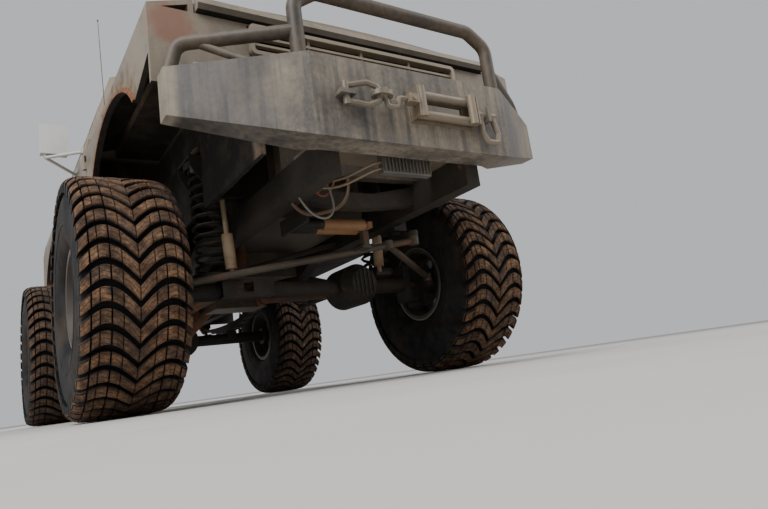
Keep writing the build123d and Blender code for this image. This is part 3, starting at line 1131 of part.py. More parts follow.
# Seats: two front buckets and a rear bench, each one closed cushion with its back
FLOOR_Z = ROCKER_Z + WALL
seats_table = [
    # (middle across, width, front edge, base height)
    (-380, 480, FRONT_Y + 1120, 150), (380, 480, FRONT_Y + 1120, 150), (0, 1140, FRONT_Y + 1930, 150),
]
with BuildPart() as seats:
    for middle, width, front, base in seats_table:
        low = FLOOR_Z + base
        add(side_prism([(front, low - 20), (front + 10, low + 120), (front + 430, low + 110), (front + 560, low + 720),
                        (front + 650, low + 700), (front + 540, low - 20)], middle - width / 2, middle + width / 2))
        add(block(middle - width / 2 + 40, middle + width / 2 - 40, front + 40, front + 500,
                  FLOOR_Z + SEAT_GAP, low))
write(seats.part, "seats")

# Dashboard with the steering column, and the steering wheel on its shaft
DASH_BACK = FRONT_Y + 930
DASH_FRONT = COWL_Y + WALL + SEAT_GAP
STEER_X = 380
STEER_TILT = 25
STEER_CENTRE = Vector(STEER_X, FRONT_Y + 1040, 1330)
STEER_AXIS = Vector(0, math.cos(math.radians(STEER_TILT)), math.sin(math.radians(STEER_TILT)))
SHAFT_R = 12
STEER_R = 185


def along_column(distance):
    """A point on the steering column, measured forwards from the wheel's middle."""
    return tuple(STEER_CENTRE - STEER_AXIS * distance)


with BuildPart() as dashboard:
    add(side_prism([(DASH_FRONT, 1250), (DASH_BACK, 1180), (DASH_BACK + 30, 1330), (DASH_BACK - 60, 1430),
                    (COWL_Y + WALL + 60, 1440), (DASH_FRONT, 1420)], 90 - BODY_HALF, BODY_HALF - 90))
    add(rod(along_column(50), along_column(200), 28))
    add(rod(along_column(40), along_column(130), SHAFT_R + RUN_GAP), mode=Mode.SUBTRACT)
write(dashboard.part, "dashboard")
with BuildPart() as steering_wheel:
    wheel_plane = Plane(origin=tuple(STEER_CENTRE), x_dir=(1, 0, 0), z_dir=tuple(STEER_AXIS))
    with BuildSketch(Plane(origin=tuple(STEER_CENTRE), x_dir=(1, 0, 0), z_dir=wheel_plane.y_dir)):
        with Locations((STEER_R, 0)):
            RegularPolygon(15, 8)
    revolve(axis=Axis(tuple(STEER_CENTRE), tuple(STEER_AXIS)))
    for turn in (90, 210, 330):
        outwards = wheel_plane.x_dir.rotate(Axis((0, 0, 0), tuple(STEER_AXIS)), turn)
        with BuildSketch(Plane(origin=tuple(STEER_CENTRE), x_dir=tuple(STEER_AXIS), z_dir=outwards)):
            Rectangle(9, 30)
        extrude(amount=STEER_R - 5)
    add(rod(along_column(125), along_column(-12), SHAFT_R))
    add(rod(along_column(12), along_column(-14), 38))
write(steering_wheel.part, "steering_wheel")

# Mirrors: a head on a V of thin tube, fastened to each door's skin
MIRROR_Y = FRONT_Y + 860
MIRROR_X = BODY_HALF + 170
for side, hand in ((-1, "right"), (1, "left")):
    with BuildPart() as mirror:
        apex = (side * MIRROR_X, MIRROR_Y, 1440)
        add(rod((side * (BODY_HALF - 24), FRONT_Y + 800, 1472), apex, 9))
        add(rod((side * (BODY_HALF - 20), FRONT_Y + 1066, 1417), apex, 9))
        for along, height in ((FRONT_Y + 800, 1472), (FRONT_Y + 1066, 1417)):
            add(block(*sorted((side * (BODY_HALF - 24), side * (BODY_HALF + 4))), along - 16, along + 16,
                      height - 16, height + 16))
        add(rod(apex, (apex[0], apex[1], 1480), 9))
        add(block(*sorted((side * (MIRROR_X - 110), side * (MIRROR_X + 25))), MIRROR_Y - 20, MIRROR_Y + 30, 1460, 1630))
        add(cabin(-SEAT_GAP), mode=Mode.SUBTRACT)
    write(mirror.part, f"mirror_{hand}")
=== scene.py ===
"""Dresses the lifted off-road 4x4: its paint, dust, mud, tyres, soft seats and small fittings."""

import json
import math

import bmesh
import bpy
from mathutils import Matrix, Vector


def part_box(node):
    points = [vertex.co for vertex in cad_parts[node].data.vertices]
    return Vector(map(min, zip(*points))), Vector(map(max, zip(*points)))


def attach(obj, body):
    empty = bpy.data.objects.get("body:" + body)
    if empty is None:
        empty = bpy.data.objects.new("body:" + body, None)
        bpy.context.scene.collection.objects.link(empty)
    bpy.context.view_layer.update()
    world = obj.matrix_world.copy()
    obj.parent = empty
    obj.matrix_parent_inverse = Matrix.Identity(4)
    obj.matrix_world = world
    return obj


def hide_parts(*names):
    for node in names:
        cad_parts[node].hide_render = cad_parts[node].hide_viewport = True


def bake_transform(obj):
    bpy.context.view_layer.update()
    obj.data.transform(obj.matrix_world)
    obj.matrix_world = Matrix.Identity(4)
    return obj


bl_info = {
    "name": "Lifted off-road 4x4",
    "version": (1, 0, 0),
    "blender": (4, 5, 0),
    "location": "View3D > Sidebar > Off-road 4x4",
    "description": "Paints and dresses the lifted off-road 4x4",
    "category": "Object",
}

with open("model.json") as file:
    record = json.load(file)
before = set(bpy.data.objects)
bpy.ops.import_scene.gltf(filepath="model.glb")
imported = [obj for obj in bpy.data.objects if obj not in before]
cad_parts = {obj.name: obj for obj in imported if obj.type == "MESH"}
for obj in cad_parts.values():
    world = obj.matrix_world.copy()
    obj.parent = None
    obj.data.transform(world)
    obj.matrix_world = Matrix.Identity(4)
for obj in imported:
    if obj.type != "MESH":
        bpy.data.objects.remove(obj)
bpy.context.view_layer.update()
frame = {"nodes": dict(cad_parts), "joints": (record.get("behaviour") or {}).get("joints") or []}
NODES = frame["nodes"]

# The picture's width and the camera's sensor
IMAGE_WIDE = 768
SENSOR_WIDE = 36.0

# Where the wheels turn, in metres. The nose points to -Y and the driver's side is +X
PIVOTS = {joint["name"]: joint["pos_m"] for joint in frame["joints"] if "pos_m" in joint}
TRACK_HALF, FRONT_Y, AXLE_Z = PIVOTS["wheel_front_left_spin"]
REAR_Y = PIVOTS["wheel_rear_left_spin"][1]
# The driver's side and the passenger's: the sign of X and the word in names
SIDES = ((1, "left"), (-1, "right"))

# The tyre, the nose and the steering dampers, from the boxes of their nodes
TYRE_LOW, TYRE_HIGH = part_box("tyre_front_left")
TYRE_R = (TYRE_HIGH[2] - TYRE_LOW[2]) / 2
TYRE_HALF = (TYRE_HIGH[0] - TYRE_LOW[0]) / 2
NOSE_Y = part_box("front_clip")[0][1]
DAMPER_LOW, DAMPER_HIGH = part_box("damper_bodies")
DAMPER_R = (DAMPER_HIGH[2] - DAMPER_LOW[2]) / 2
DAMPER_Z = (DAMPER_HIGH[2] + DAMPER_LOW[2]) / 2
DAMPER_YS = (DAMPER_HIGH[1] - DAMPER_R, DAMPER_LOW[1] + DAMPER_R)

# The outer faces of a wheel's disc and hub
DISC_FACE_X = TRACK_HALF - 0.038
HUB_FACE_X = TRACK_HALF + 0.037

# The windscreen's foot, and how far it runs back for its rise
SCREEN_FOOT_Y = FRONT_Y + 0.62
SCREEN_FOOT_Z = 1.470
SCREEN_RUN = 0.39
SCREEN_RISE = 0.62
SCREEN_FACING = Vector((0.0, -SCREEN_RISE, SCREEN_RUN)).normalized()


# Shader maths

# A Mix node's colour sockets, whose names its number and vector sockets share
MIX_SHARE, MIX_FIRST, MIX_SECOND, MIX_COLOUR = 0, 6, 7, 2


class Field:
    """One output of a finish's node tree, so that shader maths reads as an expression."""

    def __init__(self, finish, socket):
        self.finish = finish
        self.socket = socket

    def maths(self, operation, *values):
        """A Math node on values, each of them a field or a number."""
        return self.finish.node("ShaderNodeMath", {"operation": operation}, dict(enumerate(values)))

    def __add__(self, other):
        return self.maths("ADD", self, other)

    __radd__ = __add__

    def __sub__(self, other):
        return self.maths("SUBTRACT", self, other)

    def __rsub__(self, other):
        return self.maths("SUBTRACT", other, self)

    def __mul__(self, other):
        return self.maths("MULTIPLY", self, other)

    __rmul__ = __mul__

    def __truediv__(self, other):
        return self.maths("DIVIDE", self, other)

    def __abs__(self):
        return self.maths("ABSOLUTE", self)

    def most(self, other):
        """The larger of two values."""
        return self.maths("MAXIMUM", self, other)

    def least(self, other):
        """The smaller of two values."""
        return self.maths("MINIMUM", self, other)

    def root(self):
        return self.maths("SQRT", self)

    def sine(self):
        return self.maths("SINE", self)

    def cosine(self):
        return self.maths("COSINE", self)

    def between(self, low, high):
        """0 below low, 1 above high, and a smooth step between them."""
        return self.finish.node(
            "ShaderNodeMapRange",
            {"interpolation_type": "SMOOTHSTEP"},
            {"Value": self, "From Min": low, "From Max": high},
        )


class Finish:
    """A material and the nodes that make it."""

    def __init__(self, name):
        self.material = bpy.data.materials.new(name)
        self.material.use_nodes = True
        self.tree = self.material.node_tree
        self.shader = self.tree.nodes["Principled BSDF"]

    def set(self, socket, value):
        """Gives a socket a field, a colour or a number."""
        if isinstance(value, Field):
            self.tree.links.new(value.socket, socket)
        elif isinstance(value, tuple) and len(value) == 3 and socket.type == "RGBA":
            socket.default_value = (*value, 1.0)
        else:
            socket.default_value = value

    def node(self, kind, settings, inputs, output=0):
        """A new node with its settings and inputs, as one of its outputs."""
        made = self.tree.nodes.new(kind)
        for key, value in settings.items():
            setattr(made, key, value)
        for key, value in inputs.items():
            self.set(made.inputs[key], value)
        return Field(self, made.outputs[output])

    def place(self):
        """Object coordinates, in metres."""
        return self.node("ShaderNodeTexCoord", {}, {}, "Object")

    def facing(self):
        """The surface's own normal, in the piece's frame."""
        return self.node("ShaderNodeTexCoord", {}, {}, "Normal")

    def along(self, axis, vector=None):
        """One part of a vector, or of the place."""
        return self.node("ShaderNodeSeparateXYZ", {}, {0: vector or self.place()}, axis)

    def stretched(self, scale):
        """Object coordinates with each axis scaled on its own."""
        return self.node("ShaderNodeMapping", {}, {"Vector": self.place(), "Scale": scale})

    def noise(self, scale, detail, roughness=0.55, vector=None):
        """Noise from 0 to 1, in about scale patches a metre."""
        return self.node(
            "ShaderNodeTexNoise", {},
            {"Vector": vector or self.place(), "Scale": scale, "Detail": detail,
             "Roughness": roughness},
        )

    def waver(self, reach, scale, detail, roughness=0.55):
        """Noise that strays from 0 by up to half of its reach."""
        return (self.noise(scale, detail, roughness) - 0.5) * reach

    def blend(self, share, first, second):
        """A colour between two colours."""
        return self.node("ShaderNodeMix", {"data_type": "RGBA"},
                         {MIX_SHARE: share, MIX_FIRST: first, MIX_SECOND: second}, MIX_COLOUR)

    def surface(self, colour, roughness, metallic=0.0, height=None, depth=0.0, **sockets):
        """Feeds the shader, with a bump of a real depth in metres."""
        self.set(self.shader.inputs["Base Color"], colour)
        self.set(self.shader.inputs["Roughness"], roughness)
        self.set(self.shader.inputs["Metallic"], metallic)
        for name, value in sockets.items():
            self.set(self.shader.inputs[name.replace("_", " ")], value)
        if height is not None:
            bump = self.node("ShaderNodeBump", {},
                             {"Height": height, "Distance": depth, "Strength": 1.0})
            self.set(self.shader.inputs["Normal"], bump)
        return self.material


# Dirt that several finishes share

def paint(name):
    """One of the colours in the paint settings."""
    return tuple(getattr(bpy.context.scene.offroad_paint, name))


def shaded(colour, share):
    """A colour darkened to this share of itself."""
    return tuple(part * share for part in colour)


def dust_share(finish, amount, up_weight=0.35):
    """How much dust lies at each place: patches, fine grains, and more on what looks up."""
    patches = finish.noise(scale=3.5, detail=6.0, roughness=0.62).between(0.30, 0.72)
    grains = finish.noise(scale=55.0, detail=5.0, roughness=0.65).between(0.25, 0.80)
    upwards = finish.along("Z", finish.facing()).between(-0.2, 1.0)
    share = (patches * 0.6 + grains * 0.4) * amount + upwards * up_weight * amount
    return share.least(1.0)


def streaks(finish, scale=26.0, stretch=0.10):
    """Marks that water has run down."""
    vector = finish.stretched((1.0, 1.0, stretch))
    return finish.noise(scale, detail=5.0, roughness=0.6, vector=vector).between(0.45, 0.68)


def mud_below(finish, top, bottom):
    """Splashed mud that thickens from a height downwards."""
    ragged = finish.along("Z") + finish.waver(0.45, scale=9.0, detail=7.0, roughness=0.7)
    return 1.0 - ragged.between(bottom, top)


def past_radius(finish, axle_y, edges):
    """0 nearer to an axle's line than the first radius, and 1 beyond the second."""
    behind, above = finish.along("Y") - axle_y, finish.along("Z") - AXLE_Z
    return (behind * behind + above * above).between(*(radius ** 2 for radius in edges))


def weathered(name, base, amount, roughness, metallic=0.0, mud=None, dust=None):
    """Paint or metal under dust, run marks and, where mud is given, mud below two heights."""
    dust = dust or paint("dust")
    finish = Finish(name)
    share = dust_share(finish, amount)
    share = (share * (1.0 - streaks(finish) * 0.45)).least(1.0)
    tint = finish.noise(scale=1.7, detail=3.0).between(0.3, 0.7)
    colour = finish.blend(tint, shaded(base, 0.72), base)
    colour = finish.blend(share, colour, dust)
    height = share * 0.5 + finish.noise(scale=180.0, detail=3.0) * 0.5
    rough = share * 0.3 + roughness
    if mud:
        splash = mud_below(finish, *mud)
        dried = finish.noise(scale=14.0, detail=5.0).between(0.35, 0.65)
        tone = finish.blend(dried, paint("dry_mud"), paint("dust"))
        colour = finish.blend(splash * 0.85, colour, tone)
        height = height + splash * finish.noise(scale=38.0, detail=6.0, roughness=0.7) * 2.0
        rough = rough.most(splash * 0.92)
    return finish.surface(colour, rough.least(0.97), metallic, height=height, depth=0.0006)


def rusted(name, base, amount, rust_amount, roughness):
    """Old chassis black with rust and caked dust, the dust darkened as painted shade under the
    vehicle.
    """
    rust = paint("rust")
    finish = Finish(name)
    edges = (0.62 - 0.3 * rust_amount, 0.80 - 0.2 * rust_amount)
    patches = finish.noise(scale=9.0, detail=8.0, roughness=0.7).between(*edges)
    pits = finish.noise(scale=90.0, detail=4.0, roughness=0.6).between(0.35, 0.75)
    rust_tone = finish.blend(pits, rust, shaded(rust, 0.45))
    colour = finish.blend(patches, base, rust_tone)
    share = dust_share(finish, amount)
    # The dust is darkened to 0.42 of its colour: real dust with painted shade under the vehicle
    colour = finish.blend(share, colour, shaded(paint("dust"), 0.42))
    height = patches * 0.4 + pits * 0.4 + share * 0.6
    rough = (patches * 0.2 + share * 0.2 + roughness).least(0.97)
    return finish.surface(colour, rough, height=height, depth=0.0012)


# The body's paint

STAIN = (0.070, 0.054, 0.038)
SPLASH_WET, SPLASH_DRY = (0.085, 0.058, 0.034), (0.250, 0.185, 0.118)
EDGE_RUST_DARK, EDGE_RUST_BRIGHT = (0.105, 0.034, 0.012), (0.300, 0.125, 0.045)
PRIMER = (0.215, 0.098, 0.062)
PRIMER_SPOT = (-0.79, NOSE_Y, 1.335)
# Painted shade on the body's underside and inside: near black, with some dirt mottled into it
UNDERSIDE_SHADE_BLACK, UNDERSIDE_SHADE_DIRT = (0.010, 0.0085, 0.007), (0.062, 0.042, 0.026)

# A wheel arch's edge as an ellipse: how far its middle is ahead of the axle, and how high
ARCH_AHEAD, ARCH_MIDDLE_Z = 0.04, 0.96
ARCH_HALF_LONG, ARCH_HALF_TALL = 0.55, 0.37

# Where the painted shade of the body's inside begins and is whole: its walls, belt, nose and tail
INSIDE_WALLS = (0.835, 0.80)
INSIDE_BELT = (1.40, 1.34)
INSIDE_NOSE = (NOSE_Y + 0.04, NOSE_Y + 0.08)
INSIDE_TAIL = (1.95, 1.85)


def near(finish, place):
    """How far each point is from a place, in metres."""
    gaps = [finish.along(axis) - at for axis, at in zip("XYZ", place)]
    return (gaps[0] * gaps[0] + gaps[1] * gaps[1] + gaps[2] * gaps[2]).root()


def arch_share(finish, axle_y):
    """1 on the edge of a wheel arch, growing outwards from it."""
    back = (finish.along("Y") - (axle_y - ARCH_AHEAD)) / ARCH_HALF_LONG
    up = (finish.along("Z") - ARCH_MIDDLE_Z) / ARCH_HALF_TALL
    return (back * back + up * up).root()


def underside(finish):
    """1 on what faces down or inwards, and inside the body below its belt: where painted shade
    goes.
    """
    across, back, up = finish.along("X"), finish.along("Y"), finish.along("Z")
    inward = (across * finish.along("X", finish.facing())).between(-0.05, -0.30)
    down = finish.along("Z", finish.facing()).between(-0.35, -0.75)
    inside = abs(across).between(*INSIDE_WALLS) * up.between(*INSIDE_BELT)
    inside = inside * back.between(*INSIDE_NOSE) * back.between(*INSIDE_TAIL)
    return inward.most(down).most(inside)


def body_paint():
    """Faded tan paint under dust, with mud and rust round the arches and painted shade on its
    underside.
    """
    finish = Finish("body_paint")
    grain = finish.noise(scale=130.0, detail=4.0, roughness=0.7).between(0.3, 0.75)
    tint = finish.noise(scale=2.2, detail=5.0, roughness=0.6).between(0.32, 0.68)
    colour = finish.blend(tint, paint("body_shade"), paint("body_pale"))
    washed = 1.0 - streaks(finish, scale=30.0, stretch=0.08) * 0.45
    share = (dust_share(finish, amount=0.72, up_weight=0.45) * washed).least(1.0)
    colour = finish.blend(share * 0.8, colour, paint("body_dust"))
    stains = finish.noise(scale=6.5, detail=8.0, roughness=0.68).between(0.56, 0.70)
    colour = finish.blend(stains * 0.55, colour, STAIN)

    arch = arch_share(finish, FRONT_Y).least(arch_share(finish, REAR_Y))
    ragged = arch + finish.waver(0.5, scale=7.0, detail=7.0, roughness=0.7)
    splash = (1.0 - ragged.between(1.02, 1.42)).most(mud_below(finish, top=1.14, bottom=0.86))
    dried = finish.noise(scale=16.0, detail=6.0, roughness=0.7).between(0.38, 0.62)
    colour = finish.blend(splash * (grain * 0.35 + 0.55), colour,
                          finish.blend(dried, SPLASH_WET, SPLASH_DRY))

    edge = arch + finish.waver(0.035, scale=45.0, detail=5.0)
    rim = 1.0 - edge.between(1.035, 1.062)
    pits = finish.noise(scale=60.0, detail=5.0).between(0.3, 0.7)
    colour = finish.blend(rim * 0.85, colour,
                          finish.blend(pits, EDGE_RUST_DARK, EDGE_RUST_BRIGHT))
    wobble = finish.waver(0.10, scale=22.0, detail=6.0, roughness=0.7)
    kept = (near(finish, PRIMER_SPOT) + wobble).between(0.055, 0.105)
    colour = finish.blend((1.0 - kept) * 0.75, colour, PRIMER)

    # Painted shade on what faces down or inwards and inside the body, with dirt mottled into it
    underside_shade = underside(finish)
    caked = finish.noise(scale=8.0, detail=7.0, roughness=0.68).between(0.42, 0.70)
    colour = finish.blend(underside_shade, colour,
                          finish.blend(caked * 0.7, UNDERSIDE_SHADE_BLACK, UNDERSIDE_SHADE_DIRT))
    clods = splash * finish.noise(scale=48.0, detail=6.0, roughness=0.7)
    height = share * 0.4 + grain * 0.35 + clods * 1.6 + rim * 0.6
    rough = (share * 0.3 + 0.42).most(splash * 0.92).most(underside_shade * 0.95).most(rim * 0.9)
    return finish.surface(colour, rough.least(0.97), height=height, depth=0.0007)


# The other finishes

BUMPER_SCUFF = (0.125, 0.050, 0.024)
BUMPER_TIP = (-0.84, -0.80)     # where its passenger's end folds back
BUMPER_BARE = (-0.60, -0.38)    # where its face has lost the most dust

# The disc's dark steel is partly painted shade, and the lip's pale colour is a painted highlight
WHEEL_DARK, WHEEL_PALE = (0.022, 0.021, 0.020), (0.050, 0.046, 0.041)
WHEEL_LIP, WHEEL_DUST = (0.36, 0.33, 0.28), (0.155, 0.115, 0.078)
WHEEL_LIP_R = (0.196, 0.203)

GLASS_DARK, GLASS_DUST = (0.010, 0.012, 0.012), (0.215, 0.175, 0.125)
GLASS_FOOT = (1.52, 1.68)

RUBBER_DARK, RUBBER_PALE = (0.010, 0.009, 0.0085), (0.026, 0.025, 0.026)
RUBBER_FILM = (0.135, 0.090, 0.055)
# The first colour is painted shade in the tread's grooves
GROOVE_SHADE, SIPE = (0.0035, 0.003, 0.003), (0.005, 0.004, 0.004)
TREAD_R = (0.446, 0.460)
LUG_RIM = (0.0255, 0.021)
SIPE_PITCH = 0.019

CLOTH_DARK, CLOTH_PALE = (0.030, 0.028, 0.027), (0.060, 0.056, 0.052)
CLOTH_DUST = (0.17, 0.135, 0.095)
CLOTH_WEAVE = 1600.0


def bumper_paint():
    """Blue-black paint under tan dust with run marks, barer at the passenger's end of its face."""
    finish = Finish("bumper_paint")
    across = finish.along("X")
    tip = 1.0 - across.between(*BUMPER_TIP)
    ragged = across + finish.waver(0.5, scale=4.0, detail=4.0)
    barer = (1.0 - ragged.between(*BUMPER_BARE)) * (1.0 - tip)
    fine = streaks(finish, scale=38.0, stretch=0.06)
    broad = streaks(finish, scale=11.0, stretch=0.22)
    washed = (1.0 - fine * 0.50) * (1.0 - broad * 0.45)
    share = (dust_share(finish, amount=0.95, up_weight=0.45) + 0.25) * washed
    share = (share * (1.0 - barer * 0.55) + tip * 0.3).least(1.0)
    tint = finish.noise(scale=5.0, detail=5.0).between(0.3, 0.7)
    base = finish.blend(tint, paint("bumper_shade"), paint("bumper_pale"))
    colour = finish.blend(share, base, paint("bumper_dust"))
    scuffs = finish.noise(scale=19.0, detail=8.0, roughness=0.75).between(0.66, 0.74)
    colour = finish.blend(scuffs * 0.6, colour, BUMPER_SCUFF)
    height = share * 0.6 + finish.noise(scale=120.0, detail=4.0) * 0.5
    return finish.surface(colour, (share * 0.35 + 0.45).least(0.95), height=height, depth=0.0008)


def wheel_steel(name, axle_y):
    """Dark dusty steel, its darkness partly painted shade, with a painted highlight on its lip."""
    finish = Finish(name)
    lip = past_radius(finish, axle_y, WHEEL_LIP_R)
    share = dust_share(finish, amount=0.55)
    tint = finish.noise(scale=9.0, detail=5.0).between(0.3, 0.7)
    # The lip is painted with a pale highlight over the dark steel
    colour = finish.blend(lip * 0.8, finish.blend(tint, WHEEL_DARK, WHEEL_PALE), WHEEL_LIP)
    colour = finish.blend(share * 0.7, colour, WHEEL_DUST)
    height = share * 0.5 + finish.noise(scale=150.0, detail=3.0) * 0.5
    rough = (share * 0.3 + 0.5).least(0.95)
    lip_metal = (lip * 0.55).least(1.0)
    return finish.surface(colour, rough, metallic=lip_metal, height=height, depth=0.0006)


def window_glass():
    """Dark automotive glass, dusty in patches and along its lower edge."""
    finish = Finish("window_glass")
    height = finish.along("Z") + finish.waver(0.2, scale=7.0, detail=5.0)
    low = 1.0 - height.between(*GLASS_FOOT)
    share = (dust_share(finish, amount=0.30, up_weight=0.15) * 0.8 + low * 0.35).least(0.85)
    colour = finish.blend(share, GLASS_DARK, GLASS_DUST)
    rough = (share * 0.6 + 0.05).least(0.9)
    return finish.surface(colour, rough, Alpha=(share * 0.45 + 0.55).least(1.0))


def tyre_rubber(name, axle_y, shaded_mud_share):
    """Rubber with painted shade in its grooves, caked mud on the lugs' faces, bare patches and fine
    sipes.
    """
    finish = Finish(name)
    plan = finish.node("ShaderNodeUVMap", {"uv_map": PLAN}, {})
    around, lift = finish.along("X", plan), finish.along("Y", plan)
    face = lift.between(0.55, 0.9)
    tread = past_radius(finish, axle_y, TREAD_R)

    across = abs(abs(finish.along("X")) - TRACK_HALF)
    wobble = finish.waver(0.004, scale=30.0, detail=2.0) + (across * 140.0).sine() * 0.0035
    sipes = ((around + wobble) * (2 * math.pi / SIPE_PITCH)).cosine().between(0.93, 0.985) * face
    patches = finish.noise(scale=9.0, detail=6.0, roughness=0.70).between(0.40, 0.58)
    specks = finish.noise(scale=58.0, detail=6.0, roughness=0.75).between(0.42, 0.62)
    rim = abs(around).between(*LUG_RIM)
    mud = (patches * 0.55 + 0.45) * (specks * 0.45 + 0.55) * (rim * 0.45 + 0.55)
    # A smaller share of mud leaves the rubber darker, and on the rear tyres that is painted shade
    mud = mud * face * shaded_mud_share

    tint = finish.noise(scale=11.0, detail=4.0).between(0.35, 0.65)
    dried = finish.noise(scale=21.0, detail=7.0, roughness=0.72).between(0.36, 0.66)
    colour = finish.blend(mud, finish.blend(tint, RUBBER_DARK, RUBBER_PALE),
                          finish.blend(dried, paint("tread_mud_wet"), paint("tread_mud_dry")))
    film = finish.noise(scale=4.0, detail=6.0, roughness=0.6).between(0.42, 0.75)
    film = film * (1.0 - face) * 0.30 * (1.0 - tread * 0.8)
    colour = finish.blend(film, colour, RUBBER_FILM)
    # Painted shade on the lugs' sides and in the grooves between them
    colour = finish.blend((1.0 - face) * tread * 0.85, colour, GROOVE_SHADE)
    colour = finish.blend(sipes, colour, SIPE)
    height = mud * specks * 0.9 - sipes * 1.4 + finish.noise(scale=240.0, detail=3.0) * 0.25
    rough = ((1.0 - face) * 0.16 + mud * 0.15 + 0.66).least(0.95)
    return finish.surface(colour, rough, height=height, depth=0.0030, Specular_IOR_Level=0.28)


def seat_cloth():
    """Dark woven cloth with dust in its weave."""
    finish = Finish("seat_cloth")
    warp = (finish.along("X") * CLOTH_WEAVE).sine()
    weft = ((finish.along("Z") + finish.along("Y")) * CLOTH_WEAVE).sine()
    weave = (warp * weft + 1.0) * 0.5
    share = dust_share(finish, amount=0.35)
    colour = finish.blend(weave, CLOTH_DARK, CLOTH_PALE)
    colour = finish.blend(share, colour, CLOTH_DUST)
    return finish.surface(colour, roughness=0.92, height=weave + share, depth=0.0005)


# Finishes under dust: colour, share of dust, roughness, metallic, then what differs
WEATHERED = {
    "guard_paint": ((0.040, 0.031, 0.024), 0.62, 0.5, 0.0, {"dust": (0.22, 0.165, 0.108)}),
    "grille_paint": ((0.25, 0.215, 0.165), 0.5, 0.4, 0.0, {}),
    "dusty_steel": ((0.20, 0.175, 0.14), 0.6, 0.42, 0.35, {}),
    "damper_orange": ((0.27, 0.125, 0.048), 0.45, 0.5, 0.0, {"dust": (0.34, 0.24, 0.14)}),
    "shock_cream": ((0.36, 0.27, 0.165), 0.55, 0.45, 0.0, {"mud": (0.86, 0.62)}),
    "cast_alloy": ((0.10, 0.09, 0.08), 0.45, 0.5, 0.6, {}),
    "cooler_alloy": ((0.34, 0.33, 0.31), 0.35, 0.40, 0.7, {}),
    "tank_plastic": ((0.02, 0.02, 0.02), 0.6, 0.7, 0.0, {}),
    "trim_black": ((0.02, 0.02, 0.02), 0.3, 0.6, 0.0, {}),
    "mirror_white": ((0.62, 0.61, 0.58), 0.25, 0.3, 0.0, {}),
    "lamp_clear": ((0.45, 0.44, 0.40), 0.4, 0.15, 0.0, {}),
    "lamp_red": ((0.20, 0.012, 0.008), 0.3, 0.2, 0.0, {}),
    "rubber_boot": ((0.010, 0.010, 0.010), 0.28, 0.55, 0.0, {"dust": (0.13, 0.10, 0.07)}),
    "hoop_paint": ((0.055, 0.045, 0.036), 0.55, 0.55, 0.0, {}),
    "pipe_tan": ((0.26, 0.20, 0.13), 0.5, 0.45, 0.3, {}),
    "fitting_black": ((0.014, 0.014, 0.015), 0.25, 0.45, 0.0, {}),
    "cap_steel": ((0.10, 0.095, 0.088), 0.55, 0.42, 0.6, {}),
    "seat_plastic": ((0.022, 0.021, 0.020), 0.25, 0.6, 0.0, {}),
}

# Rusty finishes: colour, share of dust, share of rust, roughness
RUSTED = {
    "chassis_black": ((0.008, 0.007, 0.0065), 0.26, 0.12, 0.7),
    "rusty_steel": ((0.05, 0.03, 0.02), 0.28, 0.80, 0.7),
    "link_steel": ((0.045, 0.036, 0.028), 0.45, 0.35, 0.5),
}

# The finishes of this object's own surfaces
MADE = {
    "body_paint": body_paint,
    "bumper_paint": bumper_paint,
    "window_glass": window_glass,
    "seat_cloth": seat_cloth,
    "wheel_steel_front": lambda: wheel_steel("wheel_steel_front", FRONT_Y),
    "wheel_steel_rear": lambda: wheel_steel("wheel_steel_rear", REAR_Y),
}


def finish_of(name):
    """The material of this name, from one of the three tables."""
    if name in WEATHERED:
        base, amount, roughness, metallic, more = WEATHERED[name]
        return weathered(name, base, amount, roughness, metallic, **more)
    if name in RUSTED:
        return rusted(name, *RUSTED[name])
    return MADE[name]()


# The CAD nodes that each finish covers. The tyres and the seats are replaced by new pieces
NODE_FINISHES = {
    "body_paint": ["body_tub", "front_clip", "hood", "door_left", "door_right", "roof",
                   "liftgate"],
    "window_glass": ["door_glass_left", "door_glass_right", "fixed_glass", "liftgate_glass"],
    "grille_paint": ["grille"],
    "bumper_paint": ["front_bumper"],
    "guard_paint": ["brush_guard"],
    "dusty_steel": ["fairlead", "winch_hook", "recovery_gear", "winch"],
    "chassis_black": ["frame", "front_axle", "rear_axle", "knuckle_left", "knuckle_right",
                      "leaf_springs", "coil_springs", "front_links", "steering_box",
                      "pitman_arm", "rear_bumper", "side_steps"],
    "link_steel": ["steering_links", "damper_rods"],
    "damper_orange": ["damper_bodies"],
    "shock_cream": ["shocks"],
    "cast_alloy": ["engine", "gearbox", "radiator"],
    "cooler_alloy": ["oil_cooler"],
    "rusty_steel": ["driveshafts", "exhaust"],
    "tank_plastic": ["fuel_tank"],
    "wheel_steel_front": ["wheel_front_left", "wheel_front_right"],
    "wheel_steel_rear": ["wheel_rear_left", "wheel_rear_right"],
    "trim_black": ["dashboard", "steering_wheel"],
    "mirror_white": ["mirror_left", "mirror_right"],
    "lamp_clear": ["headlamps"],
    "lamp_red": ["tail_lamps"],
}


# Shapes

DOUBLES = 1e-5
SHARP_ANGLE = 35.0


def linked(name, data):
    """A new object of this data, in the scene."""
    made = bpy.data.objects.new(name, data)
    bpy.context.scene.collection.objects.link(made)
    return made


def settled(name, mesh, finish, body, *stands_for):
    """A piece of this mesh that rides on a body, where one is given, and replaces CAD nodes."""
    mesh.name = name
    mesh.materials.append(finish)
    piece = linked(name, mesh)
    if body:
        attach(piece, body)
    if stands_for:
        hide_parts(*stands_for)
    return piece


def closed_mesh(shape, sharp=SHARP_ANGLE):
    """The bmesh as a mesh, with its doubles merged and its normals outwards."""
    bmesh.ops.remove_doubles(shape, verts=shape.verts, dist=DOUBLES)
    bmesh.ops.recalc_face_normals(shape, faces=shape.faces)
    mesh = bpy.data.meshes.new("mesh")
    shape.to_mesh(mesh)
    shape.free()
    mesh.shade_smooth()
    mesh.set_sharp_from_angle(angle=math.radians(sharp))
    return mesh


